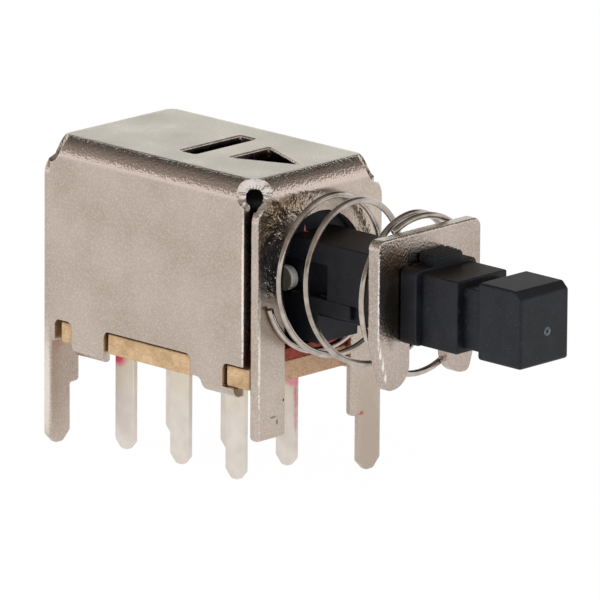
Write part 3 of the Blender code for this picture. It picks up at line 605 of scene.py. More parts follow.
@dataclass(frozen=True)
class RedPhenolic:
    """Red-brown phenolic moulding compound with filler flecks, and shade painted on its outer
    walls behind the case's slits.
    """

    name: str = "red_brown_phenolic"
    light: str = "#a23a22"
    dark: str = "#6f2214"
    # painted shade colour
    slit_shade: str = "#120b09"
    roughness: float = 0.42
    filler: float = 0.35
    filler_height: float = 0.01
    # spots where shade is painted behind the case's slits
    slit_shade_spots: tuple[Spot, ...] = ()

    def build(self) -> Material:
        """Builds the material.

        Returns:
            Red-brown moulding with filler flecks and painted shade.
        """
        resin = Recipe(self.name, self.roughness, specular=0.3)
        filler = resin.noise(self.filler, 5.0)
        colour = resin.blend(filler, self.dark, self.light, 0.35, 0.6)
        # painted shade behind the case's slits
        colour = resin.marked(colour, tuple((*spot, self.slit_shade) for spot in self.slit_shade_spots), 0.3)
        return resin.finished(colour, resin.bump(filler, self.filler_height, 0.5))


@dataclass(frozen=True)
class ShearedSilver:
    """Silver-plated copper strip, dulled by an oxide film, with its sheared edge painted near
    white as a highlight.
    """

    name: str = "sheared_silver_strip"
    face: str = "#848071"
    # painted highlight: near white on the strip's edge faces
    edge: str = "#f8f6f1"
    roughness: float = 0.42
    film: float = 0.35
    tear: float = 0.1
    tear_height: float = 0.03

    def build(self) -> Material:
        """Builds the material.

        Returns:
            Strip with shear marks that run through its thickness, which is along Y, and a
            painted highlight on its edge faces.
        """
        strip = Recipe(self.name, self.roughness, self.film)
        flat = strip.maths("ABSOLUTE", strip.facing()[1])
        tears = strip.noise(self.tear, 2.0, strip.drawn_out((1.0, 9.0, 1.0)))
        # edge faces get the painted highlight colour, flat faces the oxide colour
        return strip.finished(strip.blend(flat, self.edge, self.face, 0.4, 0.8),
                              strip.bump(tears, self.tear_height))


@dataclass(frozen=True)
class GateMark:
    """Pale, stressed plastic where the moulding's gate was twisted off."""

    name: str = "twisted_gate_acetal"
    light: str = "#5d6b70"
    dark: str = "#33393d"
    roughness: float = 0.6
    tear: float = 0.12

    def build(self) -> Material:
        """Builds the material.

        Returns:
            Grey plastic, broken up by fine noise.
        """
        torn = Recipe(self.name, self.roughness)
        return torn.finished(torn.blend(torn.noise(self.tear, 3.0), self.dark, self.light,
                                        0.35, 0.6))


# Shapes, in millimetres


def on_axis(axis: Axis, across: float, up: float, along: float) -> Vector:
    """Puts a point of a flat outline into space.

    Args:
        axis: Direction of the outline's thickness.
        across: First coordinate in the outline, in the order X, Y, Z.
        up: Second coordinate in the outline.
        along: Coordinate along the axis.

    Returns:
        The point.
    """
    places = [across, up]
    places.insert(axis.value, along)
    return Vector(places)


def eased(shape: Shape, items: list, radius: float, steps: int,
          affect: str = "EDGES") -> Shape:
    """Rounds edges or corners of a shape.

    Args:
        shape: Shape, which is changed.
        items: Its edges or vertices that are rounded.
        radius: Radius of the rounding, or the cut-back at a corner.
        steps: Segments in the rounding.
        affect: Whether edges or vertices are rounded.

    Returns:
        The same shape.
    """
    bmesh.ops.bevel(shape, geom=items, offset=radius, offset_type="OFFSET", affect=affect,
                    segments=steps, profile=0.5, material=-1, clamp_overlap=False)
    return shape


def moved(shape: Shape, vec: Vector, turn: Matrix | None = None) -> Shape:
    """Turns a shape about the origin and then moves it.

    Args:
        shape: Shape, which is changed.
        vec: Way that it moves.
        turn: Turn before the move, or none.

    Returns:
        The same shape.
    """
    if turn is not None:
        bmesh.ops.rotate(shape, verts=shape.verts, matrix=turn)
    bmesh.ops.translate(shape, verts=shape.verts, vec=vec)
    return shape


def rounded_face(shape: Shape, corners: list[Corner], axis: Axis, along: float,
                 steps: int) -> bmesh.types.BMFace:
    """Makes one flat face and rounds its corners.

    Args:
        shape: Mesh that takes the face.
        corners: Across, up and corner radius of each corner, in order.
        axis: Direction that the face looks along.
        along: The face's place on that axis.
        steps: Segments in each rounded corner.

    Returns:
        The face.
    """
    places = [on_axis(axis, u, v, along) for u, v, _ in corners]
    points = [shape.verts.new(place) for place in places]
    shape.faces.new(points)
    for number, (_, _, radius) in enumerate(corners):
        if radius:
            back = places[number - 1] - places[number]
            ahead = places[(number + 1) % len(places)] - places[number]
            eased(shape, [points[number]], radius / tan(back.angle(ahead) / 2), steps,
                  "VERTICES")
    return list(shape.faces)[-1]


def sheet(corners: list[Corner], axis: Axis, low: float, high: float, edge: float = 0.05,
          steps: int = 3, corner_steps: int = 8) -> Shape:
    """A flat piece of an outline and a thickness, with eased edges.

    Args:
        corners: Across, up and corner radius of each corner, in order.
        axis: Direction of the thickness.
        low: Lower face on the axis.
        high: Upper face on the axis.
        edge: Radius of the eased edges, or nought.
        steps: Segments across an eased edge.
        corner_steps: Segments in each rounded corner.

    Returns:
        A closed shape.
    """
    shape = bmesh.new()
    face = rounded_face(shape, corners, axis, low, corner_steps)
    count = len(face.verts)
    pushed = bmesh.ops.extrude_face_region(shape, geom=[face], use_keep_orig=True)["geom"]
    bmesh.ops.translate(shape, verts=[v for v in pushed if isinstance(v, bmesh.types.BMVert)],
                        vec=on_axis(axis, 0.0, 0.0, high - low))
    bmesh.ops.recalc_face_normals(shape, faces=shape.faces)
    if edge:
        rims = {e for f in shape.faces for e in f.edges
                if len(f.verts) == count and abs(abs(f.normal[axis.value]) - 1.0) < 1e-4}
        eased(shape, list(rims), edge, steps)
    return shape


def eased_box(low: Corner, high: Corner, edge: float = 0.06, steps: int = 3,
              floor: float | None = None) -> Shape:
    """A block with rounded edges.

    Args:
        low: Lowest corner.
        high: Highest corner.
        edge: Edge radius, or nought.
        steps: Segments across an edge.
        floor: Height above which edges are rounded, or none for all of them.

    Returns:
        A closed shape.
    """
    shape = bmesh.new()
    bmesh.ops.create_cube(shape, size=1.0)
    bmesh.ops.scale(shape, verts=shape.verts, vec=Vector(high) - Vector(low))
    moved(shape, (Vector(low) + Vector(high)) / 2)
    if edge:
        eased(shape, [e for e in shape.edges if floor is None
                      or min(v.co.z for v in e.verts) > floor], edge, steps)
    return shape


def spun(profile: list[tuple[float, float]], steps: int) -> Shape:
    """Spins an outline round Z.

    Args:
        profile: Radius and height of its points.
        steps: Steps in the full turn.

    Returns:
        The shape.
    """
    shape = bmesh.new()
    points = [shape.verts.new((radius, 0.0, height)) for radius, height in profile]
    edges = [shape.edges.new(pair) for pair in zip(points, points[1:])]
    bmesh.ops.spin(shape, geom=points + edges, axis=(0, 0, 1), cent=(0, 0, 0), angle=2 * pi,
                   steps=steps, use_merge=True)
    return shape


def drill(radius: float, depth: float, middle: Corner, sides: int,
          turn: Matrix | None = None) -> Shape:
    """Cutter for a round hole.

    Args:
        radius: Radius of the hole.
        depth: Length of the cutter.
        middle: Its middle.
        sides: Sides of its circle.
        turn: Turn from its upright place, or none.

    Returns:
        A closed cutter.
    """
    shape = bmesh.new()
    bmesh.ops.create_cone(shape, cap_ends=True, segments=sides, radius1=radius,
                          radius2=radius, depth=depth)
    return moved(shape, Vector(middle), turn)


def terminal_slots(low: float, high: float) -> list[Shape]:
    """Cutters for the slots that the six terminals stand in.

    Args:
        low: Lower end of the cutters.
        high: Upper end of the cutters.

    Returns:
        Six closed cutters.
    """
    return [eased_box((x - SLOT_HALF_X, side.value * TERMINAL_ROW - SLOT_HALF_Y, low),
                      (x + SLOT_HALF_X, side.value * TERMINAL_ROW + SLOT_HALF_Y, high), 0.0)
            for x in TERMINALS for side in Side]


def to_mesh(shape: Shape, name: str = "shape") -> bpy.types.Mesh:
    """Turns a shape into a mesh with outward faces and frees the shape."""
    bmesh.ops.recalc_face_normals(shape, faces=shape.faces)
    mesh = bpy.data.meshes.new(name)
    shape.to_mesh(mesh)
    shape.free()
    return mesh


def placed(name: str, data: bpy.types.ID) -> Object:
    """Makes an object of some data and puts it into the scene."""
    item = bpy.data.objects.new(name, data)
    bpy.context.scene.collection.objects.link(item)
    return item


def joined(shapes: list[Shape]) -> Shape:
    """Puts several closed shapes, which are freed, into one."""
    whole = bmesh.new()
    for shape in shapes:
        mesh = to_mesh(shape)
        whole.from_mesh(mesh)
        bpy.data.meshes.remove(mesh)
    return whole


def cut(shape: Shape, cutters: list[Shape]) -> Shape:
    """Takes the space of cutters out of a shape.

    Args:
        shape: Closed shape, which is freed.
        cutters: Closed shapes, which are freed.

    Returns:
        What is left of the shape.
    """
    item = placed("blank", to_mesh(shape))
    for cutter in cutters:
        tool = placed("cutter", to_mesh(cutter))
        step = item.modifiers.new("cut", "BOOLEAN")
        step.operation = "DIFFERENCE"
        step.solver = "EXACT"
        step.object = tool
        graph = bpy.context.evaluated_depsgraph_get()
        result = bpy.data.meshes.new_from_object(item.evaluated_get(graph))
        item.modifiers.clear()
        item.data = result
        bpy.data.objects.remove(tool, do_unlink=True)
    left = bmesh.new()
    left.from_mesh(item.data)
    bpy.data.objects.remove(item, do_unlink=True)
    return left


def finish_piece(name: str, shape: Shape, material: Material, body: Body,
                 nodes: tuple[str, ...] = (), sharp: float = 40.0) -> Object:
    """Turns a shape into a piece of the switch.

    Args:
        name: Name of the piece.
        shape: Closed shape in millimetres, which is freed.
        material: Finish of the piece.
        body: Body that the piece rides on.
        nodes: CAD nodes that the piece stands for.
        sharp: Angle in degrees above which an edge stays sharp.

    Returns:
        The piece.
    """
    bmesh.ops.scale(shape, verts=shape.verts, vec=(MM, MM, MM))
    mesh = to_mesh(shape, name)
    item = placed(name, mesh)
    mesh.materials.append(material)
    mesh.shade_smooth()
    mesh.set_sharp_from_angle(angle=radians(sharp))
    flat = item.modifiers.new("level_faces", "WEIGHTED_NORMAL")
    flat.keep_sharp = True
    flat.weight = 100
    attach(item, body.value)
    if nodes:
        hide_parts(*nodes)
    LOG.info("%s: %d faces on %s", name, len(mesh.polygons), body.value)
    return item


def drawn_wire(points: list[Vector], radius: float, sides: int) -> Shape:
    """A round wire along a path, made by extruding a circle from point to point.

    Args:
        points: Middle of the wire, in order.
        radius: Wire radius.
        sides: Points around the wire.

    Returns:
        A closed shape with slightly rounded ends.
    """
    narrow, inset = 0.8, 0.2 * radius
    shape = bmesh.new()
    ring = bmesh.ops.create_circle(shape, cap_ends=True, radius=radius * narrow,
                                   segments=sides)["verts"]
    heading = (points[1] - points[0]).normalized()
    turn = Vector((0, 0, 1)).rotation_difference(heading).to_matrix()
    moved(shape, points[0], turn)
    path = [(points[0] + heading * inset, 1 / narrow)] + [(p, 1.0) for p in points[1:]]
    path[-1] = (points[-1] - (points[-1] - points[-2]).normalized() * inset, 1.0)
    path.append((points[-1], narrow))
    here = points[0]
    edges = list(shape.edges)
    for step, (point, grow) in enumerate(path):
        pushed = bmesh.ops.extrude_edge_only(shape, edges=edges)["geom"]
        ring = [item for item in pushed if isinstance(item, bmesh.types.BMVert)]
        edges = [item for item in pushed if isinstance(item, bmesh.types.BMEdge)]
        ahead = path[step + 1][0] if step + 1 < len(path) else point
        nearer = path[step - 1][0] if step else points[0]
        new_heading = (ahead - nearer).normalized()
        swing = heading.rotation_difference(new_heading).to_matrix()
        bmesh.ops.translate(shape, verts=ring, vec=point - here)
        bmesh.ops.rotate(shape, verts=ring, cent=point, matrix=swing)
        if grow != 1.0:
            for vert in ring:
                vert.co = point + (vert.co - point) * grow
        heading, here = new_heading, point
    bmesh.ops.holes_fill(shape, edges=edges)
    return shape


# Sub-assemblies


@dataclass
class FoldedCase:
    """Folded steel case: a top with rounded bends, four separate panels and curled tabs.

    Lengths along X are set back from the front panel's outer face, heights are above the
    pins' tips, and everything is in millimetres. The front lip has its front end, its rear
    end and the end of its curl, and the rear lip the ends of its curl from the rear panel.
    """

    front: float
    rear: float
    half: float
    top: float
    seat: float = 3.03
    thick: float = 0.5
    bend: float = 1.0
    bend_steps: int = 14
    end_half: float = 4.36
    shoulder: float = 0.95
    slit: float = 0.26
    rear_slit: float = 0.1
    axis: float = PLUNGER_AXIS
    arch: float = 2.95
    leg_inner: float = 2.3
    pin_inner: float = 2.9
    pin_reach: float = 2.87
    front_drop: float = 0.9
    rear_low: float = 2.2
    window_top: float = 6.66
    front_post: float = 1.39
    tab_space: float = 2.15
    tab_low: float = 5.68
    front_tab_low: float = 5.5
    rear_tab: float = 2.2
    rear_strip: float = 0.34
    strip_rise: float = 2.5
    front_lip: tuple[float, float, float] = (1.4, 3.3, 4.0)
    rear_lip: tuple[float, float] = (1.2, 4.4)
    lip_bend: float = 5.5
    lip_radius: float = 0.52
    lip_reach: float = 0.45
    rim: float = 0.87
    hole: float = 0.25
    dish: float = 0.16
    corner_setback: float = 0.34
    corner_drop: float = 0.725
    corner_tilt: float = 23.0
    crumple: float = 0.055
    ripple: float = 0.018
    hole_stretch: float = 1.15
    slot_back: float = 6.38
    slot_width: float = 1.05
    slot_half: float = 2.1
    pointer_tip: float = 1.5
    pointer_base: float = 4.8
    pointer_half: float = 1.38
    ease: float = 0.05
    panel_ease: float = 0.16

    def shell(self, inset: float, low: float, radius: float) -> Shape:
        """Outer block of the top, or one set in from it, with rounded edges.

        Args:
            inset: Distance inside the outer faces.
            low: Lower end of the block.
            radius: Radius of the edges round the top.

        Returns:
            A closed shape.
        """
        return eased_box((self.rear + inset, inset - self.half, low),
                         (self.front - inset, self.half - inset, self.top - inset), radius,
                         self.bend_steps, low + 0.1)

    def corner_cutter(self, side_x: int, side_y: int) -> Shape:
        """Dished and crumpled relief hole across one upper corner.

        Args:
            side_x: One for the front and minus one for the rear.
            side_y: One for the far side and minus one for the near side.

        Returns:
            A closed cutter.
        """
        profile = [(0.0, -1.4), (self.hole, -1.4), (self.hole, -self.dish - 0.06),
                   (self.hole + 0.05, -self.dish), (self.rim * 0.62, -self.dish * 0.55),
                   (self.rim * 0.84, -self.dish * 0.2), (self.rim, 0.03),
                   (self.rim + 0.05, 1.2), (0.0, 1.2)]
        shape = spun(profile, 80)
        bmesh.ops.remove_doubles(shape, verts=shape.verts, dist=1e-5)
        for vert in shape.verts:
            away = hypot(vert.co.x, vert.co.y)
            turn = atan2(vert.co.y, vert.co.x)
            if self.hole + 0.01 < away < self.rim + 0.01 and vert.co.z > -1.0:
                bend = turn + 0.5 * away
                ridge = smooth_noise.noise(Vector((cos(bend) * 5, sin(bend) * 5, away * 2.5)))
                vert.co.z += ridge * self.crumple + sin(bend * 17 + ridge * 5) * self.ripple
            if 0.01 < away < self.hole + 0.06:
                square = (abs(cos(turn)) ** 8 + abs(sin(turn)) ** 8) ** -0.125
                vert.co.x *= square
                vert.co.y *= square * self.hole_stretch
        flat = Vector((side_x, side_y, 0.0)).normalized()
        tilt = radians(self.corner_tilt)
        direction = flat * cos(tilt) + Vector((0.0, 0.0, sin(tilt)))
        end = self.front if side_x > 0 else self.rear
        middle = Vector((end - side_x * self.bend, side_y * (self.half - self.bend),
                         self.top - self.corner_drop)) + flat * self.corner_setback
        return moved(shape, middle, direction.to_track_quat("Z", "Y").to_matrix())

    def corner_cutters(self, side_x: int | None, side_y: int | None) -> list[Shape]:
        """Corner cutters of one end, one side or the whole top."""
        return [self.corner_cutter(x, y) for x, y in TOP_CORNERS
                if side_x in (None, x) and side_y in (None, y)]

    def cap(self) -> Shape:
        """Top plate with its four bends, its slot and its triangular hole."""
        low = self.top - self.bend - 1.0
        cutters = [self.shell(self.thick, low - 1.0, self.bend - self.thick),
                   eased_box((self.rear - 1, -self.half - 1, low - 1),
                             (self.front + 1, self.half + 1, self.top - self.bend - 0.25),
                             0.0)]
        middle = (self.front + self.rear) / 2
        free_x = (self.front - self.rear) / 2 - self.bend - 0.05
        free_y = self.half - self.bend - 0.05
        for side_x, side_y in TOP_CORNERS:
            ends_x = sorted((middle + side_x * free_x, middle + side_x * 12.0))
            ends_y = sorted((side_y * free_y, side_y * 8.0))
            cutters.append(eased_box((ends_x[0], ends_y[0], low - 1),
                                     (ends_x[1], ends_y[1], self.top - self.bend + 0.05),
                                     0.0))
        cutters += self.corner_cutters(None, None)
        slot_front, base = self.front - self.slot_back, self.front - self.pointer_base
        slot = [(slot_front, -self.slot_half, 0.16), (slot_front, self.slot_half, 0.16),
                (slot_front - self.slot_width, self.slot_half, 0.16),
                (slot_front - self.slot_width, -self.slot_half, 0.16)]
        pointer = [(self.front - self.pointer_tip, 0.0, 0.05),
                   (base, self.pointer_half, 0.08), (base, -self.pointer_half, 0.08)]
        cutters += [sheet(outline, Axis.Z, self.top - 1.5, self.top + 0.5, 0.0)
                    for outline in (slot, pointer)]
        shape = cut(self.shell(0.0, low, self.bend), cutters)
        return self.ease_holes(shape)

    def ease_holes(self, shape: Shape) -> Shape:
        """Rounds the upper rims of the punched holes in the top, as the punch drew them in."""
        rims = [edge for edge in shape.edges if len(edge.link_faces) == 2
                and all(abs(v.co.z - self.top) <= 1e-4 for v in edge.verts)
                and any(abs(face.normal.z) > 0.99 for face in edge.link_faces)
                and any(abs(face.normal.z) < 0.05 for face in edge.link_faces)]
        return eased(shape, rims, 0.1, 5)

    def pin(self, side: int) -> list[Corner]:
        """Corners of a leg that ends in a solder pin, from its outer to its inner edge."""
        tip = self.seat - self.pin_reach
        outer, inner = self.end_half, self.pin_inner
        corners = [(outer, tip + 0.5, 0.2), (outer - 0.5, tip, 0.25),
                   (inner + 0.5, tip, 0.25), (inner, tip + 0.5, 0.2),
                   (inner, self.seat, 0.1), (self.leg_inner, self.seat, 0.22)]
        return [(side * u, v, r) for u, v, r in corners]

    def stand_off(self, side: int) -> list[Corner]:
        """Corners of a leg that stands on the board, from its outer to its inner edge."""
        return [(side * self.end_half, self.seat, 0.28),
                (side * self.leg_inner, self.seat, 0.2)]

    def end_panel(self, side_x: int) -> Shape:
        """Front panel with its arched opening, or the closed rear panel.

        Args:
            side_x: One for the front and minus one for the rear.

        Returns:
            A closed shape with eased edges.
        """
        high = self.top - self.bend - 0.05
        gap = 0.005
        if side_x > 0:
            far_leg, near_leg = self.pin(1), self.stand_off(-1)
            crotch = self.axis - self.front_drop
            low, far = self.front - self.thick + gap, self.front - gap
        else:
            far_leg, near_leg = self.stand_off(1), self.pin(-1)
            crotch = self.seat + self.rear_low
            low, far = self.rear + gap, self.rear + self.thick - gap
        corners = [(self.end_half, high, self.shoulder), *far_leg,
                   (self.leg_inner, crotch, 0.0), (-self.leg_inner, crotch, 0.0),
                   *near_leg[::-1], (-self.end_half, high, self.shoulder)]
        shape = sheet(corners, Axis.X, low, far, self.panel_ease)
        if side_x < 0:
            return cut(shape, self.corner_cutters(-1, None))
        opening = drill(self.arch, 4.0, (self.front, 0.0, self.axis), 96, Z_TO_X)
        return self.ease_arch(cut(shape, [opening] + self.corner_cutters(1, None)), far)

    def ease_arch(self, shape: Shape, face_x: float) -> Shape:
        """Rounds the outer rim of the arched opening.

        Args:
            shape: Front panel, which is changed.
            face_x: Place of its outer face.

        Returns:
            The same panel.
        """
        rims = [edge for edge in shape.edges if len(edge.link_faces) == 2 and all(
            abs(hypot(v.co.y, v.co.z - self.axis) - self.arch) < 0.01
            and abs(v.co.x - face_x) < 1e-3 for v in edge.verts)]
        return eased(shape, rims, 0.06, 3)

    def side_panel(self, side: Side) -> Shape:
        """Side panel whose tabs are cut flat and then curled under the board."""
        rear = self.rear + self.thick + self.rear_slit
        front = self.front - self.thick - self.slit
        high = self.top - self.bend - 0.05
        window, tab = self.window_top, self.tab_low
        middle = self.lip_radius - self.thick / 2
        low = self.lip_bend - middle * pi / 2 - self.lip_reach
        front_window = front - self.front_post
        front_tab = front_window - self.tab_space
        rear_tab = self.rear + self.thick + self.slit + self.rear_strip + 1.0
        rear_tab_front = rear_tab + self.rear_tab
        strip, strip_low = rear + self.rear_strip, self.seat + self.strip_rise
        lip_front, lip_rear = self.front - self.front_lip[0], self.front - self.front_lip[1]
        corners = [(rear, high, 0.0), (front, high, 0.0), (front, window, 0.08),
                   (front_window, window, 0.35), (front_window, self.front_tab_low, 0.1),
                   (lip_front, self.front_tab_low, 0.1), (lip_front, low, 0.3),
                   (lip_rear, low, 0.55), (lip_rear - 0.32, tab - 0.05, 0.35),
                   (front_tab, tab, 0.12), (front_tab, window, 0.35),
                   (rear_tab_front, window, 0.35), (rear_tab_front, tab - 0.1, 0.3),
                   (rear_tab_front - 0.35, low, 0.5), (rear_tab + 0.35, low, 0.5),
                   (rear_tab, tab - 0.1, 0.3), (rear_tab, window, 0.3), (strip, window, 0.3),
                   (strip, strip_low, 0.1), (rear, strip_low, 0.12)]
        gap = 0.01
        ends = sorted((side.value * (self.half - self.thick + gap),
                       side.value * (self.half - gap)))
        shape = sheet(corners, Axis.Y, ends[0], ends[1], self.ease)
        return self.curl(cut(shape, self.corner_cutters(None, side.value)), side, middle)

    def curl(self, shape: Shape, side: Side, middle: float) -> Shape:
        """Curls everything below the bend line inwards under the board.

        Args:
            shape: Flat panel, which is changed.
            side: Near or far side.
            middle: Radius of the sheet's middle in the bend.

        Returns:
            The same panel.
        """
        length, steps = middle * pi / 2, 12
        for step in range(steps + 1):
            plane = Vector((0.0, 0.0, self.lip_bend - length * step / steps))
            everything = shape.verts[:] + shape.edges[:] + shape.faces[:]
            bmesh.ops.bisect_plane(shape, geom=everything, plane_co=plane,
                                   plane_no=Vector((0, 0, 1)), dist=1e-5)
        centre = self.half - self.lip_radius
        for vert in shape.verts:
            depth = self.lip_bend - vert.co.z
            in_front = vert.co.x > self.front - self.front_lip[2]
            in_rear = self.rear_lip[0] <= vert.co.x - self.rear < self.rear_lip[1]
            if depth <= 0 or not (in_front or in_rear):
                continue
            away = abs(vert.co.y) - centre
            turn = min(depth, length) / middle
            straight = max(depth - length, 0.0)
            vert.co.y = side.value * (centre + away * cos(turn) - straight)
            vert.co.z = self.lip_bend - away * sin(turn)
        return shape

    def build(self, finish: Material) -> Object:
        """Builds the whole case as one piece.

        Args:
            finish: Nickel plate.

        Returns:
            The piece.
        """
        parts = [self.cap(), self.end_panel(1), self.end_panel(-1),
                 self.side_panel(Side.NEAR), self.side_panel(Side.FAR)]
        return finish_piece("folded_case", joined(parts), finish, Body.CASE,
                            ("case",), sharp=32.0)


@dataclass
class TerminalBoard:
    """Punched phenolic board whose ears stand in the case's side windows."""

    rear: float
    low: float
    high: float
    spans: tuple[tuple[float, float], ...]
    half: float = 3.93
    ear_reach: float = 4.33

    def build(self, finish: Material) -> Object:
        """Builds the board with its six terminal slots.

        Args:
            finish: Phenolic paper.

        Returns:
            The piece.
        """
        edge: list[Corner] = []
        for low, high in self.spans:
            edge += [(high, self.half, 0.05), (high, self.ear_reach, 0.12),
                     (low, self.ear_reach, 0.12), (low, self.half, 0.05)]
        edge = edge[1:] + [(self.rear, self.half, 0.1)]
        corners = edge + [(u, -v, r) for u, v, r in reversed(edge)]
        shape = sheet(corners, Axis.Z, self.low, self.high, 0.05, corner_steps=4)
        return finish_piece("terminal_carrier",
                            cut(shape, terminal_slots(self.low - 1, self.high + 1)), finish,
                            Body.CASE, ("terminal_board",))


@dataclass
class ContactBase:
    """Red-brown moulded base: a tray with side walls and a post for the latch pin."""

    front: float
    rear: float
    low: float
    half: float = 3.93
    floor: float = 0.6
    wall: float = 0.5
    wall_rise: float = 5.7
    post_half: float = 1.6
    shelf_reach: float = 1.15
    shelf_low: float = 14.89
    shelf_high: float = 15.24
    bend: float = 14.74
    pivot: float = -12.975
    pivot_radius: float = 0.26

    def build(self, finish: Material) -> Object:
        """Builds the tray, the post and the shelf with the pin's hole.

        Args:
            finish: Red-brown phenolic.

        Returns:
            The piece.
        """
        tray = eased_box((self.rear, -self.half, self.low),
                         (self.front, self.half, self.low + self.wall_rise), 0.08)
        inner = self.half - self.wall
        floor = self.low + self.floor
        hollow = eased_box((self.rear + self.wall, -inner, floor),
                           (self.front + 2, inner, floor + 9), 0.12)
        tray = cut(tray, [hollow] + terminal_slots(self.low - 1, floor + 0.5))
        post_x = self.rear + self.wall
        shelf_x = post_x + self.shelf_reach
        corners = [(self.rear, self.low + 0.1, 0.0), (post_x, self.low + 0.1, 0.0),
                   (post_x, self.shelf_low, 0.15), (shelf_x, self.shelf_low, 0.08),
                   (shelf_x, self.shelf_high, 0.08),
                   (self.rear + 0.45, self.shelf_high, 0.1), (self.rear, self.bend, 0.1)]
        post = sheet(corners, Axis.Y, -self.post_half, self.post_half, 0.06)
        hole = drill(self.pivot_radius, 2.0, (self.pivot, 0.0, self.shelf_high), 32)
        return finish_piece("moulded_base", joined([tray, cut(post, [hole])]), finish,
                            Body.CASE, ("contact_base",))


@dataclass
class TerminalBlade:
    """One stamped terminal with a tapered solder tail and a rounded contact head."""

    name: str
    x: float
    side: Side
    tip_shift: float = -0.03
    tip_half: float = 0.63
    point_half: float = 0.22
    point_rise: float = 0.44
    stem_half: float = 0.85
    collar_half: float = 1.1
    head_half: float = 0.8
    under: float = 5.48
    collar_low: float = 7.18
    collar_high: float = 7.53
    head_top: float = 11.43
    thick: float = 0.3

    def build(self, finish: Material) -> Object:
        """Builds the blade.

        Args:
            finish: Matt silver plate.

        Returns:
            The piece.
        """
        x, tip = self.x, self.x + self.tip_shift
        head = [(self.collar_half, self.collar_low, 0.05),
                (self.collar_half, self.collar_high, 0.05),
                (self.head_half, self.collar_high, 0.05), (self.head_half, self.head_top, 0.7)]
        corners = [(x + self.stem_half, self.collar_low, 0.0),
                   (x + self.stem_half, self.under, 0.0),
                   (tip + self.tip_half, self.under - 0.22, 0.0),
                   (tip + self.tip_half, self.point_rise, 0.2),
                   (tip + self.point_half, 0.0, 0.25), (tip - self.point_half, 0.0, 0.25),
                   (tip - self.tip_half, self.point_rise, 0.2),
                   (tip - self.tip_half, self.under, 0.0),
                   (x - self.stem_half, self.under, 0.0),
                   (x - self.stem_half, self.collar_low, 0.0)]
        corners += [(x - u, v, r) for u, v, r in head]
        corners += [(x + u, v, r) for u, v, r in reversed(head)]
        middle = self.side.value * TERMINAL_ROW
        shape = sheet(corners, Axis.Y, middle - self.thick / 2, middle + self.thick / 2, 0.045)
        return finish_piece(f"{self.name}_blade", shape, finish, Body.CASE,
                            (self.name,))


@dataclass
class SlidingContact:
    """Flat bridging contact with rounded ends and two pressed bulges."""

    side: Side
    front: float
    rear: float
    bulges: tuple[float, ...]
    middle: float = 10.43
    half: float = 0.6
    outer: float = 1.35
    inner: float = 0.85
    bulge: float = 0.2
    bulge_half: float = 0.4

    def dome(self, x: float) -> Shape:
        """One pressed bulge.

        Args:
            x: Place of its middle along the switch.

        Returns:
            A closed cap of a ball, sunk a little into the contact.
        """
        sign = self.side.value
        radius = (self.bulge_half ** 2 + self.bulge ** 2) / (2 * self.bulge)
        shape = bmesh.new()
        bmesh.ops.create_uvsphere(shape, u_segments=32, v_segments=24, radius=radius)
        moved(shape, Vector((x, sign * (self.outer + self.bulge - radius), self.middle)))
        bmesh.ops.bisect_plane(shape, geom=shape.verts[:] + shape.edges[:] + shape.faces[:],
                               plane_co=Vector((0, sign * (self.outer - 0.05), 0)),
                               plane_no=Vector((0, -sign, 0)), clear_outer=True)
        bmesh.ops.holes_fill(shape, edges=[e for e in shape.edges if len(e.link_faces) == 1])
        return shape

    def build(self, finish: Material) -> Object:
        """Builds the contact.

        Args:
            finish: Sheared silver strip.

        Returns:
            The piece.
        """
        low, high = self.middle - self.half, self.middle + self.half
        turn = self.half - 0.001
        corners = [(self.rear, low, turn), (self.front, low, turn), (self.front, high, turn),
                   (self.rear, high, turn)]
        ends = sorted((self.side.value * self.inner, self.side.value * self.outer))
        parts = [sheet(corners, Axis.Y, ends[0], ends[1], 0.07, corner_steps=16)]
        parts += [self.dome(x) for x in self.bulges]
        row = self.side.name.lower()
        return finish_piece(f"bridging_contact_{row}", joined(parts), finish, Body.PLUNGER,
                            (f"sliding_contact_{row}",))


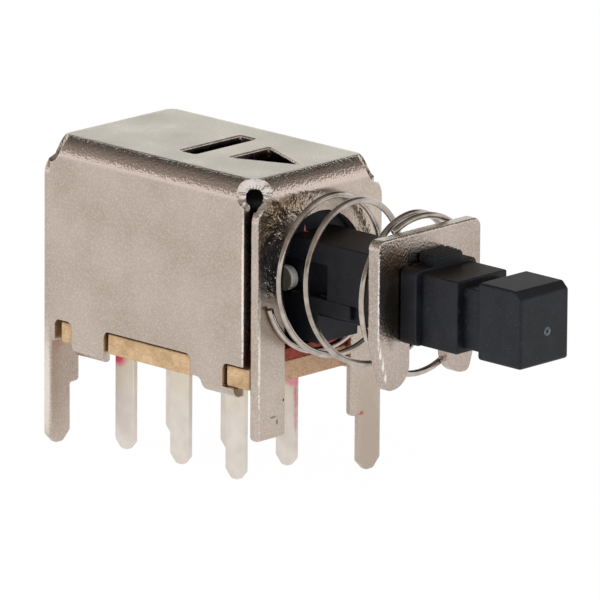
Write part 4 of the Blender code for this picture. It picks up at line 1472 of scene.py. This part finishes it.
@dataclass
class Plunger:
    """Black moulding from the cam block inside the case to the square button tip.

    Lengths along X are from the front panel's outer face.
    """

    front: float
    axis: float = PLUNGER_AXIS
    drop: float = 1.8
    tip_rear: float = 11.85
    tip_front: float = 14.638
    tip_half: float = 1.665
    tip_rise: float = 3.77
    chamfer: float = 0.35
    ridge: float = 0.19
    ridge_pitch: float = 0.255
    rail_low: float = 7.63
    cam_rear: float = -9.2
    cam_front: float = -0.6
    cam_half: float = 3.3
    cam_low: float = 11.78
    cam_high: float = 14.23
    track_depth: float = 0.7
    track_length: float = 5.1
    track_near: float = -0.4
    track_far: float = 2.2
    ease: float = 0.07
    springs: tuple[float, ...] = (-4.3, -7.06)
    spring_half: float = 0.48
    parts: list[Shape] = field(default_factory=list)

    @property
    def low(self) -> float:
        """Height of the plunger's underside."""
        return self.axis - self.drop

    def block(self, x: tuple[float, float], half_y: float, z: tuple[float, float],
              edge: float | None = None, middle: float = 0.0) -> None:
        """Adds a block across the switch.

        Args:
            x: Rear and front end from the front panel.
            half_y: Half width.
            z: Lower and upper face above the plunger's underside.
            edge: Edge radius, or the plunger's own.
            middle: Middle of the block across the switch.
        """
        self.parts.append(eased_box((self.front + x[0], middle - half_y, self.low + z[0]),
                                    (self.front + x[1], middle + half_y, self.low + z[1]),
                                    self.ease if edge is None else edge))

    def tip(self) -> None:
        """Adds the button tip with its chamfered upper front edge, and its neck."""
        rear, front = self.front + self.tip_rear, self.front + self.tip_front
        top = self.low + self.tip_rise
        corners = [(u, v, 0.17) for u, v in (
            (rear, self.low), (front, self.low), (front, top - self.chamfer),
            (front - self.chamfer - 0.01, top), (rear, top))]
        self.parts.append(sheet(corners, Axis.Y, -self.tip_half, self.tip_half, 0.15, steps=5,
                                corner_steps=5))
        self.block((10.45, 12.0), 1.3, (0.25, 3.25))

    def grip(self) -> None:
        """Adds the flange, the block before it and the ridged grip on top."""
        self.block((8.0, 10.6), 1.73, (0.0, 3.55), 0.09)
        corners = [(u, self.low + v, 0.3) for u, v in ((-2.1, 0.0), (2.1, 0.0), (2.1, 3.7),
                                                       (-2.1, 3.7))]
        self.parts.append(sheet(corners, Axis.X, self.front + 7.25, self.front + 8.28, 0.07))
        self.block((7.28, 8.3), 0.98, (3.4, 4.12), 0.05, 0.13)
        for number in range(4):
            rear, shrink = 7.29 + self.ridge_pitch * number, 0.01 * number
            self.block((rear, rear + self.ridge), 0.97 - shrink, (3.8, 4.23 - shrink), 0.045,
                       0.13)

    def shank(self) -> None:
        """Adds the shank, its rib, the grooves for the contacts and the rail below."""
        self.block((6.3, 7.4), 1.25, (0.0, 3.75), 0.04)
        self.block((1.85, 6.45), 1.5, (0.95, 3.75))
        self.block((1.1, 6.45), 1.2, (0.0, 1.1))
        self.block((self.cam_front, 3.4), 1.5, (0.22, 0.98))
        self.block((self.cam_front - 0.3, 1.95), 1.5, (2.65, 3.75))
        self.block((self.cam_rear, 1.2), 1.4, (self.rail_low - self.low, 0.75))
        self.block((self.cam_rear, self.cam_front + 0.1), 1.4, (2.6, 3.75))
        pockets = sorted(self.springs)
        starts = [self.cam_rear] + [x + self.spring_half for x in pockets]
        ends = [x - self.spring_half for x in pockets] + [1.9]
        for rib in zip(starts, ends):
            self.block(rib, 0.8, (0.3, 3.0), 0.03)

    def cam(self) -> None:
        """Adds the cam block with the sunk latch track and its heart."""
        block = eased_box((self.front + self.cam_rear, -self.cam_half, self.cam_low),
                          (self.front + self.cam_front, self.cam_half, self.cam_high), 0.1)
        front = self.front + self.cam_front - 0.4
        floor = self.cam_high - self.track_depth
        rear = front - self.track_length
        track = [(front, self.track_near, 0.2), (front, self.track_far, 0.2),
                 (rear, self.track_far, 0.3), (rear, self.track_near, 0.3)]
        self.parts.append(cut(block, [sheet(track, Axis.Z, floor, self.cam_high + 1, 0.0)]))
        tip = front - 1.4
        heart = [(tip - 2.2, 0.9, 0.1), (tip - 1.3, 0.45, 0.1), (tip, 0.45, 0.1),
                 (tip - 0.45, 0.9, 0.05), (tip, 1.35, 0.1), (tip - 1.3, 1.35, 0.1)]
        self.parts.append(sheet(heart, Axis.Z, floor - 0.05, self.cam_high - 0.02, 0.05))

    def gate(self, finish: Material) -> Object:
        """Adds the small ring that the mould's gate left on the button's end face.

        Args:
            finish: Pale twisted plastic.

        Returns:
            The piece.
        """
        ring = moved(spun([(0.09, 0.0), (0.11, 0.012), (0.2, 0.012), (0.22, 0.0)], 32),
                     Vector((self.front + self.tip_front, 0.18, self.axis - 0.21)), Z_TO_X)
        return finish_piece("gate_mark", ring, finish, Body.PLUNGER)

    def build(self, finish: Material) -> Object:
        """Builds the moulding.

        Args:
            finish: Black acetal.

        Returns:
            The piece.
        """
        self.tip()
        self.grip()
        self.shank()
        self.cam()
        return finish_piece("moulded_plunger", joined(self.parts), finish, Body.PLUNGER,
                            ("plunger",))


@dataclass
class RetainingPlate:
    """Upside-down U of thick sheet that holds the return spring on the plunger."""

    rear: float
    front: float
    top: float
    half: float = 3.55
    corner: float = 0.45
    shoulder: float = 5.15
    neck: float = 1.3
    slot_top: float = 12.73
    foot: float = 1.52
    low: float = 6.7

    def build(self, finish: Material) -> Object:
        """Builds the plate with its rolled edges.

        Args:
            finish: Nickel plate.

        Returns:
            The piece.
        """
        side = [(self.half, self.top, self.corner), (self.half, self.top - self.shoulder, 1.2),
                (self.neck + self.foot, self.low, 0.36), (self.neck, self.low, 1.15),
                (self.neck, self.slot_top, 0.1)]
        corners = side + [(-u, v, r) for u, v, r in reversed(side)]
        shape = sheet(corners, Axis.X, self.rear, self.front, 0.1, steps=4, corner_steps=12)
        return finish_piece("spring_retainer", shape, finish, Body.PLUNGER,
                            ("retaining_plate",))


@dataclass
class ReturnSpring:
    """Open coil of round wire with closed turns at both ends."""

    rear: float
    front: float
    axis: float = PLUNGER_AXIS
    mean: float = 3.84
    wire: float = 0.16
    start: float = 0.55
    turns: float = 3.78
    knots: tuple[tuple[float, float], ...] = ((0.0, 0.0), (0.45, 0.02), (1.0, 0.143),
                                              (1.7, 0.305), (1.95, 0.41), (2.5, 0.78),
                                              (2.87, 1.0), (3.78, 1.0))
    steps: int = 72
    travel: float = 3.8
    lean: float = 0.2

    def rise(self, turn: float) -> float:
        """Share of the length reached after a number of turns.

        Args:
            turn: Turns from the wire's rear end.

        Returns:
            The share, averaged over half a turn.
        """
        total = 0.0
        for step in range(-10, 11):
            here = min(max(turn + step * 0.025, 0.0), self.turns)
            for (low_turn, low), (high_turn, high) in zip(self.knots, self.knots[1:]):
                if here <= high_turn + 1e-9:
                    total += low + (high - low) * (here - low_turn) / (high_turn - low_turn)
                    break
        return total / 21

    def build(self, finish: Material) -> Object:
        """Builds the spring at rest, as it is before the plunger goes in and squeezes it along
        X.

        Args:
            finish: Bright drawn wire.

        Returns:
            The piece.
        """
        count = ceil(self.turns * self.steps)
        low, high = self.rear + self.wire + 0.01, self.front - self.wire - 0.01
        points = []
        for step in range(count + 1):
            turn = self.turns * step / count
            angle = 2 * pi * (self.start + turn)
            aside = self.lean * min(max(turn - 2.2, 0.0) / 0.6, 1.0)
            points.append(Vector((low + (high - low) * self.rise(turn),
                                  self.mean * cos(angle) + aside,
                                  self.axis + self.mean * sin(angle))))
        item = finish_piece("coil_spring", drawn_wire(points, self.wire, 16), finish,
                            Body.CASE, ("return_spring",), sharp=60.0)
        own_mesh(item)
        return item


@dataclass
class Studio:
    """White floor and surroundings, soft lamps, dark card overhead and the camera.

    The camera's angles and distance follow the photograph. The dark card shows only in the
    metal, as the unlit room above a white sweep does.
    """

    azimuth: float = 43.734
    elevation: float = 15.33
    roll: float = 0.442
    distance: float = 499.234
    target: Corner = (-0.075, 0.0, 6.03)
    focal: float = 10384.0
    shown_at: tuple[float, float] = (319.551, 366.434)
    frame_size: float = 600.0
    sensor: float = 36.0
    shade: float = 0.62
    floor_half: float = 5.0
    floor_glow: tuple[float, float] = (0.93, 0.99)
    paper: str = "#f4f4f4"
    card_dark: str = "#222424"
    card_pale: str = "#a8a29b"
    card_fade: tuple[float, float] = (0.36, 1.0)
    lit_point: Corner = (0.0, 0.0, 0.008)
    card_radius: float = 0.74
    card_height: float = 0.36
    card_stretch: float = 0.75
    dark_rim: Corner = (-0.55, 0.6, 0.36)

    def camera(self) -> None:
        """Puts the camera where the photograph was taken from."""
        turn, rise = radians(self.azimuth), radians(self.elevation)
        back = Vector((sin(turn) * cos(rise), -cos(turn) * cos(rise), sin(rise)))
        right = Vector((cos(turn), sin(turn), 0.0))
        up = back.cross(right)
        tilt = radians(self.roll)
        right, up = right * cos(tilt) + up * sin(tilt), up * cos(tilt) - right * sin(tilt)
        middle = self.frame_size / 2
        slide = (self.shown_at[0] - middle) / self.focal
        lift = (self.shown_at[1] - middle) / self.focal
        aim = (-back - right * slide + up * lift).normalized()
        across = aim.cross(up).normalized()
        turned = Matrix((across, across.cross(aim), -aim)).transposed().to_4x4()
        lens = bpy.data.cameras.new("camera")
        lens.sensor_width = self.sensor
        lens.lens = self.focal / self.frame_size * self.sensor
        lens.clip_start, lens.clip_end = 0.01, 20.0
        item = placed("camera", lens)
        place = (Vector(self.target) + back * self.distance) * MM
        item.matrix_world = Matrix.Translation(place) @ turned
        bpy.context.scene.camera = item

    def world(self) -> None:
        """White surroundings, a little dimmer where they only light the switch."""
        world = bpy.data.worlds.new("studio")
        graph = Graph(world)
        level = graph.spread(graph.shown(), 0.0, 1.0, self.shade)
        white = node(graph.tree, "Background", {"Color": WHITE, "Strength": level})
        node(graph.tree, "OutputWorld", {"Surface": white.outputs[0]})
        bpy.context.scene.world = world

    def stage_item(self, name: str, shape: Shape, material: str) -> tuple[Object, Graph]:
        """Puts a thing of the studio on the stage, with a bare material.

        Args:
            name: Name of the thing.
            shape: Its shape in metres, which is freed.
            material: Name of its material.

        Returns:
            The thing and its material's nodes.
        """
        item = placed(name, to_mesh(shape))
        item.data.materials.append(bpy.data.materials.new(material))
        return item, Graph(item.data.materials[0])

    def floor(self) -> None:
        """White floor under the pins that keeps a faint shadow."""
        shape = bmesh.new()
        bmesh.ops.create_grid(shape, x_segments=1, y_segments=1, size=self.floor_half)
        graph = self.stage_item("floor", shape, "white_floor")[1]
        seen = node(graph.tree, "LightPath").outputs["Is Camera Ray"]
        share = graph.maths("MULTIPLY", graph.shown(),
                            graph.spread(seen, 0.0, 1.0, *self.floor_glow))
        paper = node(graph.tree, "BsdfDiffuse", {"Color": linear(self.paper)})
        light = node(graph.tree, "Emission", {"Color": WHITE, "Strength": 1.0})
        mixed = node(graph.tree, "MixShader", {0: share, 1: paper.outputs[0],
                                               2: light.outputs[0]})
        node(graph.tree, "OutputMaterial", {"Surface": mixed.outputs[0]})

    def dark_card(self) -> None:
        """Card overhead that shades the metal's bends, dark at its far rim and paler nearer."""
        shape = bmesh.new()
        bmesh.ops.create_circle(shape, cap_ends=True, radius=self.card_radius, segments=64)
        near_left = Vector((-0.69, -0.72, 0.0))
        for vert in shape.verts:
            share = max(vert.co.normalized().dot(near_left), 0.0)
            vert.co += near_left * share * self.card_stretch
        moved(shape, Vector((0.0, 0.0, self.card_height)))
        item, graph = self.stage_item("dark_card", shape, "black_card")
        place = node(graph.tree, "TexCoord").outputs["Object"]
        away = node(graph.tree, "VectorMath", {"operation": "DISTANCE", 0: place,
                                               1: self.dark_rim}).outputs["Value"]
        colour = graph.blend(graph.spread(away, *self.card_fade), self.card_dark,
                             self.card_pale, 0.0, 1.0)
        glow = node(graph.tree, "Emission", {"Color": colour, "Strength": 1.0})
        node(graph.tree, "OutputMaterial", {"Surface": glow.outputs[0]})
        item.visible_camera = False
        item.visible_diffuse = False
        item.visible_shadow = False
        item.visible_transmission = False

    def lamps(self) -> None:
        """Two large soft lamps, a key from the near left and a fill from the front."""
        for name, place, power, size in (("key", (-0.28, -0.42, 0.5), 4.2, 0.4),
                                         ("fill", (0.55, -0.2, 0.3), 1.6, 0.5)):
            light = bpy.data.lights.new(name, "AREA")
            light.energy = power
            light.size = size
            item = placed(name, light)
            item.location = place
            aim = Vector(self.lit_point) - Vector(place)
            item.rotation_mode = "QUATERNION"
            item.rotation_quaternion = aim.to_track_quat("-Z", "Y")
            item.visible_glossy = False

    def build(self) -> None:
        """Sets up the whole studio."""
        self.camera()
        self.world()
        self.floor()
        self.dark_card()
        self.lamps()
        bpy.context.scene.view_settings.view_transform = "Standard"


# Marks of this switch, scratches and much painted shade and highlight: middle and half sizes in
# millimetres, and colour

CRUMPLED: tuple[Spot, ...] = (
    ((-0.07, -3.3, 12.6), (0.6, 1.2, 3.0)), ((-0.07, -1.6, 14.3), (0.6, 2.4, 0.9)),
    ((-0.07, 3.3, 12.6), (0.6, 1.2, 3.0)))
# painted highlights on the dished relief holes at the four top corners
PAINTED_CORNER_HIGHLIGHTS: tuple[Mark, ...] = tuple(
    ((x, y, 15.2), (0.95, 0.95, 1.0), "#e6e6e0") for x in (-0.6, -14.1) for y in (-4.05, 4.05))
CASE_SCRATCHES_AND_PAINTED_LIGHT: tuple[Mark, ...] = (
    # painted shade and dark reflection of the spring on the front panel, round the crumpled
    # zone
    ((-0.07, -3.5, 13.9), (0.3, 0.9, 1.2), "#b8a893"),
    ((-0.07, -2.2, 14.4), (0.3, 1.6, 0.6), "#bda992"),
    # painted highlight on the front panel beside the arch
    ((-0.07, -3.3, 11.6), (0.3, 0.8, 1.4), "#d2cec5"),
    # slightly darker tone low on the front panel's far pin
    ((-0.07, 3.5, 1.8), (0.4, 1.1, 4.0), "#b5a698"),
    # painted highlight along the rolled edge of the rear panel's near leg
    ((-14.3, -4.4, 3.0), (0.5, 0.12, 4.0), "#e6dbd0"),
    # painted shade round the slot and the pointer hole in the top
    ((-6.9, 0.0, 15.35), (1.6, 4.2, 0.45), "#2f2925"),
    ((-3.7, 0.0, 15.35), (2.6, 2.6, 0.45), "#2f2925"),
    *PAINTED_CORNER_HIGHLIGHTS,
    # scratches and small marks on the front legs
    ((-0.07, -2.48, 4.84), (0.2, 0.08, 0.08), "#3b2f29"),
    ((-0.07, -3.2, 4.12), (0.2, 0.25, 0.05), "#75604f"),
    ((-0.07, -2.92, 3.84), (0.2, 0.07, 0.15), "#5f4c3f"),
    ((-0.07, 2.97, 3.13), (0.2, 0.18, 0.13), "#ad6a64"))
# painted highlights along the near side panel's front edge and the front panel's near edge
PAINTED_EDGE_HIGHLIGHTS: tuple[Spot, ...] = (
    ((-0.86, -4.5, 10.4), (0.11, 0.4, 4.8)), ((-0.08, -4.16, 9.6), (0.11, 0.1, 6.8)))
# painted dark reflection and shade of the black plunger on the retaining plate's face
PLATE_PAINTED_REFLECTION: tuple[Mark, ...] = (
    ((7.12, -2.6, 12.9), (0.3, 0.9, 1.1), "#98806a"),
    ((7.12, -2.6, 10.6), (0.3, 0.75, 1.9), "#7a7266"))
# painted highlights along the retaining plate's near edge
PLATE_EDGE_HIGHLIGHTS: tuple[Spot, ...] = (
    ((7.12, -3.47, 11.3), (0.09, 0.08, 3.4)), ((7.12, -3.35, 8.55), (0.09, 0.08, 0.6)),
    ((7.12, -3.17, 7.95), (0.09, 0.08, 0.55)), ((7.12, -2.99, 7.35), (0.09, 0.08, 0.5)))
DYE: tuple[Mark, ...] = (
    ((-11.95, -1.9, 4.8), (0.95, 0.5, 0.75), "#e0566f"),
    ((-2.95, 1.6, 3.2), (0.42, 0.6, 2.2), "#c4405a"),
    ((-3.4, 1.6, 4.35), (0.9, 0.5, 0.35), "#e39aa8"))
# painted shade on the base's outer walls behind the case's slits
PAINTED_SLIT_SHADE: tuple[Spot, ...] = tuple(
    ((-0.8, side.value * 3.95, 11.0), (0.8, 0.8, 5.6)) for side in Side)


def millimetres(name: str) -> tuple[Vector, Vector]:
    """Lowest and highest corner of a CAD node in millimetres."""
    low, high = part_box(name)
    return low / MM, high / MM


def dress_nodes(names: tuple[str, ...], material: Material) -> None:
    """Gives carried-over CAD nodes their finish.

    Args:
        names: Names of the nodes.
        material: Finish of all of them.
    """
    for name in names:
        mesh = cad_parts[name].data
        mesh.materials.clear()
        mesh.materials.append(material)
        LOG.info("%s: carried over", name)


def build_housing() -> None:
    """Builds the case, the board, the base and the terminals."""
    low, high = millimetres("case")
    # the case's marks and edges carry painted shade and highlights as well as scratches
    nickel = SatinNickel(crumpled=CRUMPLED, marks=CASE_SCRATCHES_AND_PAINTED_LIGHT, edges=PAINTED_EDGE_HIGHLIGHTS).build()
    FoldedCase(front=high.x, rear=low.x, half=high.y, top=high.z).build(nickel)
    low, high = millimetres("terminal_board")
    spans = ((-2.125, high.x), (-10.175, -4.475), (-13.375, -12.575))
    TerminalBoard(low.x, low.z, high.z, spans).build(PhenolicPaper().build())
    low, high = millimetres("contact_base")
    # the base carries painted shade behind the slits
    ContactBase(high.x, low.x, low.z).build(RedPhenolic(slit_shade_spots=PAINTED_SLIT_SHADE).build())
    silver = MattSilver(marks=DYE).build()
    for side in Side:
        for number, x in enumerate(TERMINALS):
            name = f"terminal_{side.name.lower()}_{number + 1}"
            TerminalBlade(name, x, side).build(silver)


def build_mechanism() -> None:
    """Builds the plunger, the contacts, the plate, the springs and the latch."""
    front = millimetres("case")[1].x
    moulding = Plunger(front)
    moulding.build(BlackAcetal().build())
    moulding.gate(GateMark().build())
    strip = ShearedSilver().build()
    low, high = millimetres("sliding_contact_near")
    for side in Side:
        SlidingContact(side, high.x, low.x, TERMINALS[:2]).build(strip)
    low, high = millimetres("retaining_plate")
    # the plate's marks and edges are painted reflection, shade and highlights
    plate = SatinNickel(name="nickel_plated_strip", light="#b8a99f", dark="#aa9b90",
                        roughness=0.26, grain=0.13, grain_height=0.022, marks=PLATE_PAINTED_REFLECTION,
                        edges=PLATE_EDGE_HIGHLIGHTS)
    RetainingPlate(low.x, high.x, high.z).build(plate.build())
    wire = DrawnWire().build()
    ReturnSpring(front, low.x).build(wire)
    dress_nodes(("cross_spring_front", "cross_spring_rear", "latch_pin"), wire)
    leaf = SatinNickel(name="rolled_spring_strip", grain=0.06, roughness=0.3)
    dress_nodes(("latch_leaf",), leaf.build())


def main() -> None:
    """Builds the switch and its studio."""
    logging.basicConfig(level=logging.INFO, format="%(message)s")
    Studio().build()
    build_housing()
    build_mechanism()


if __name__ == "__main__":
    main()
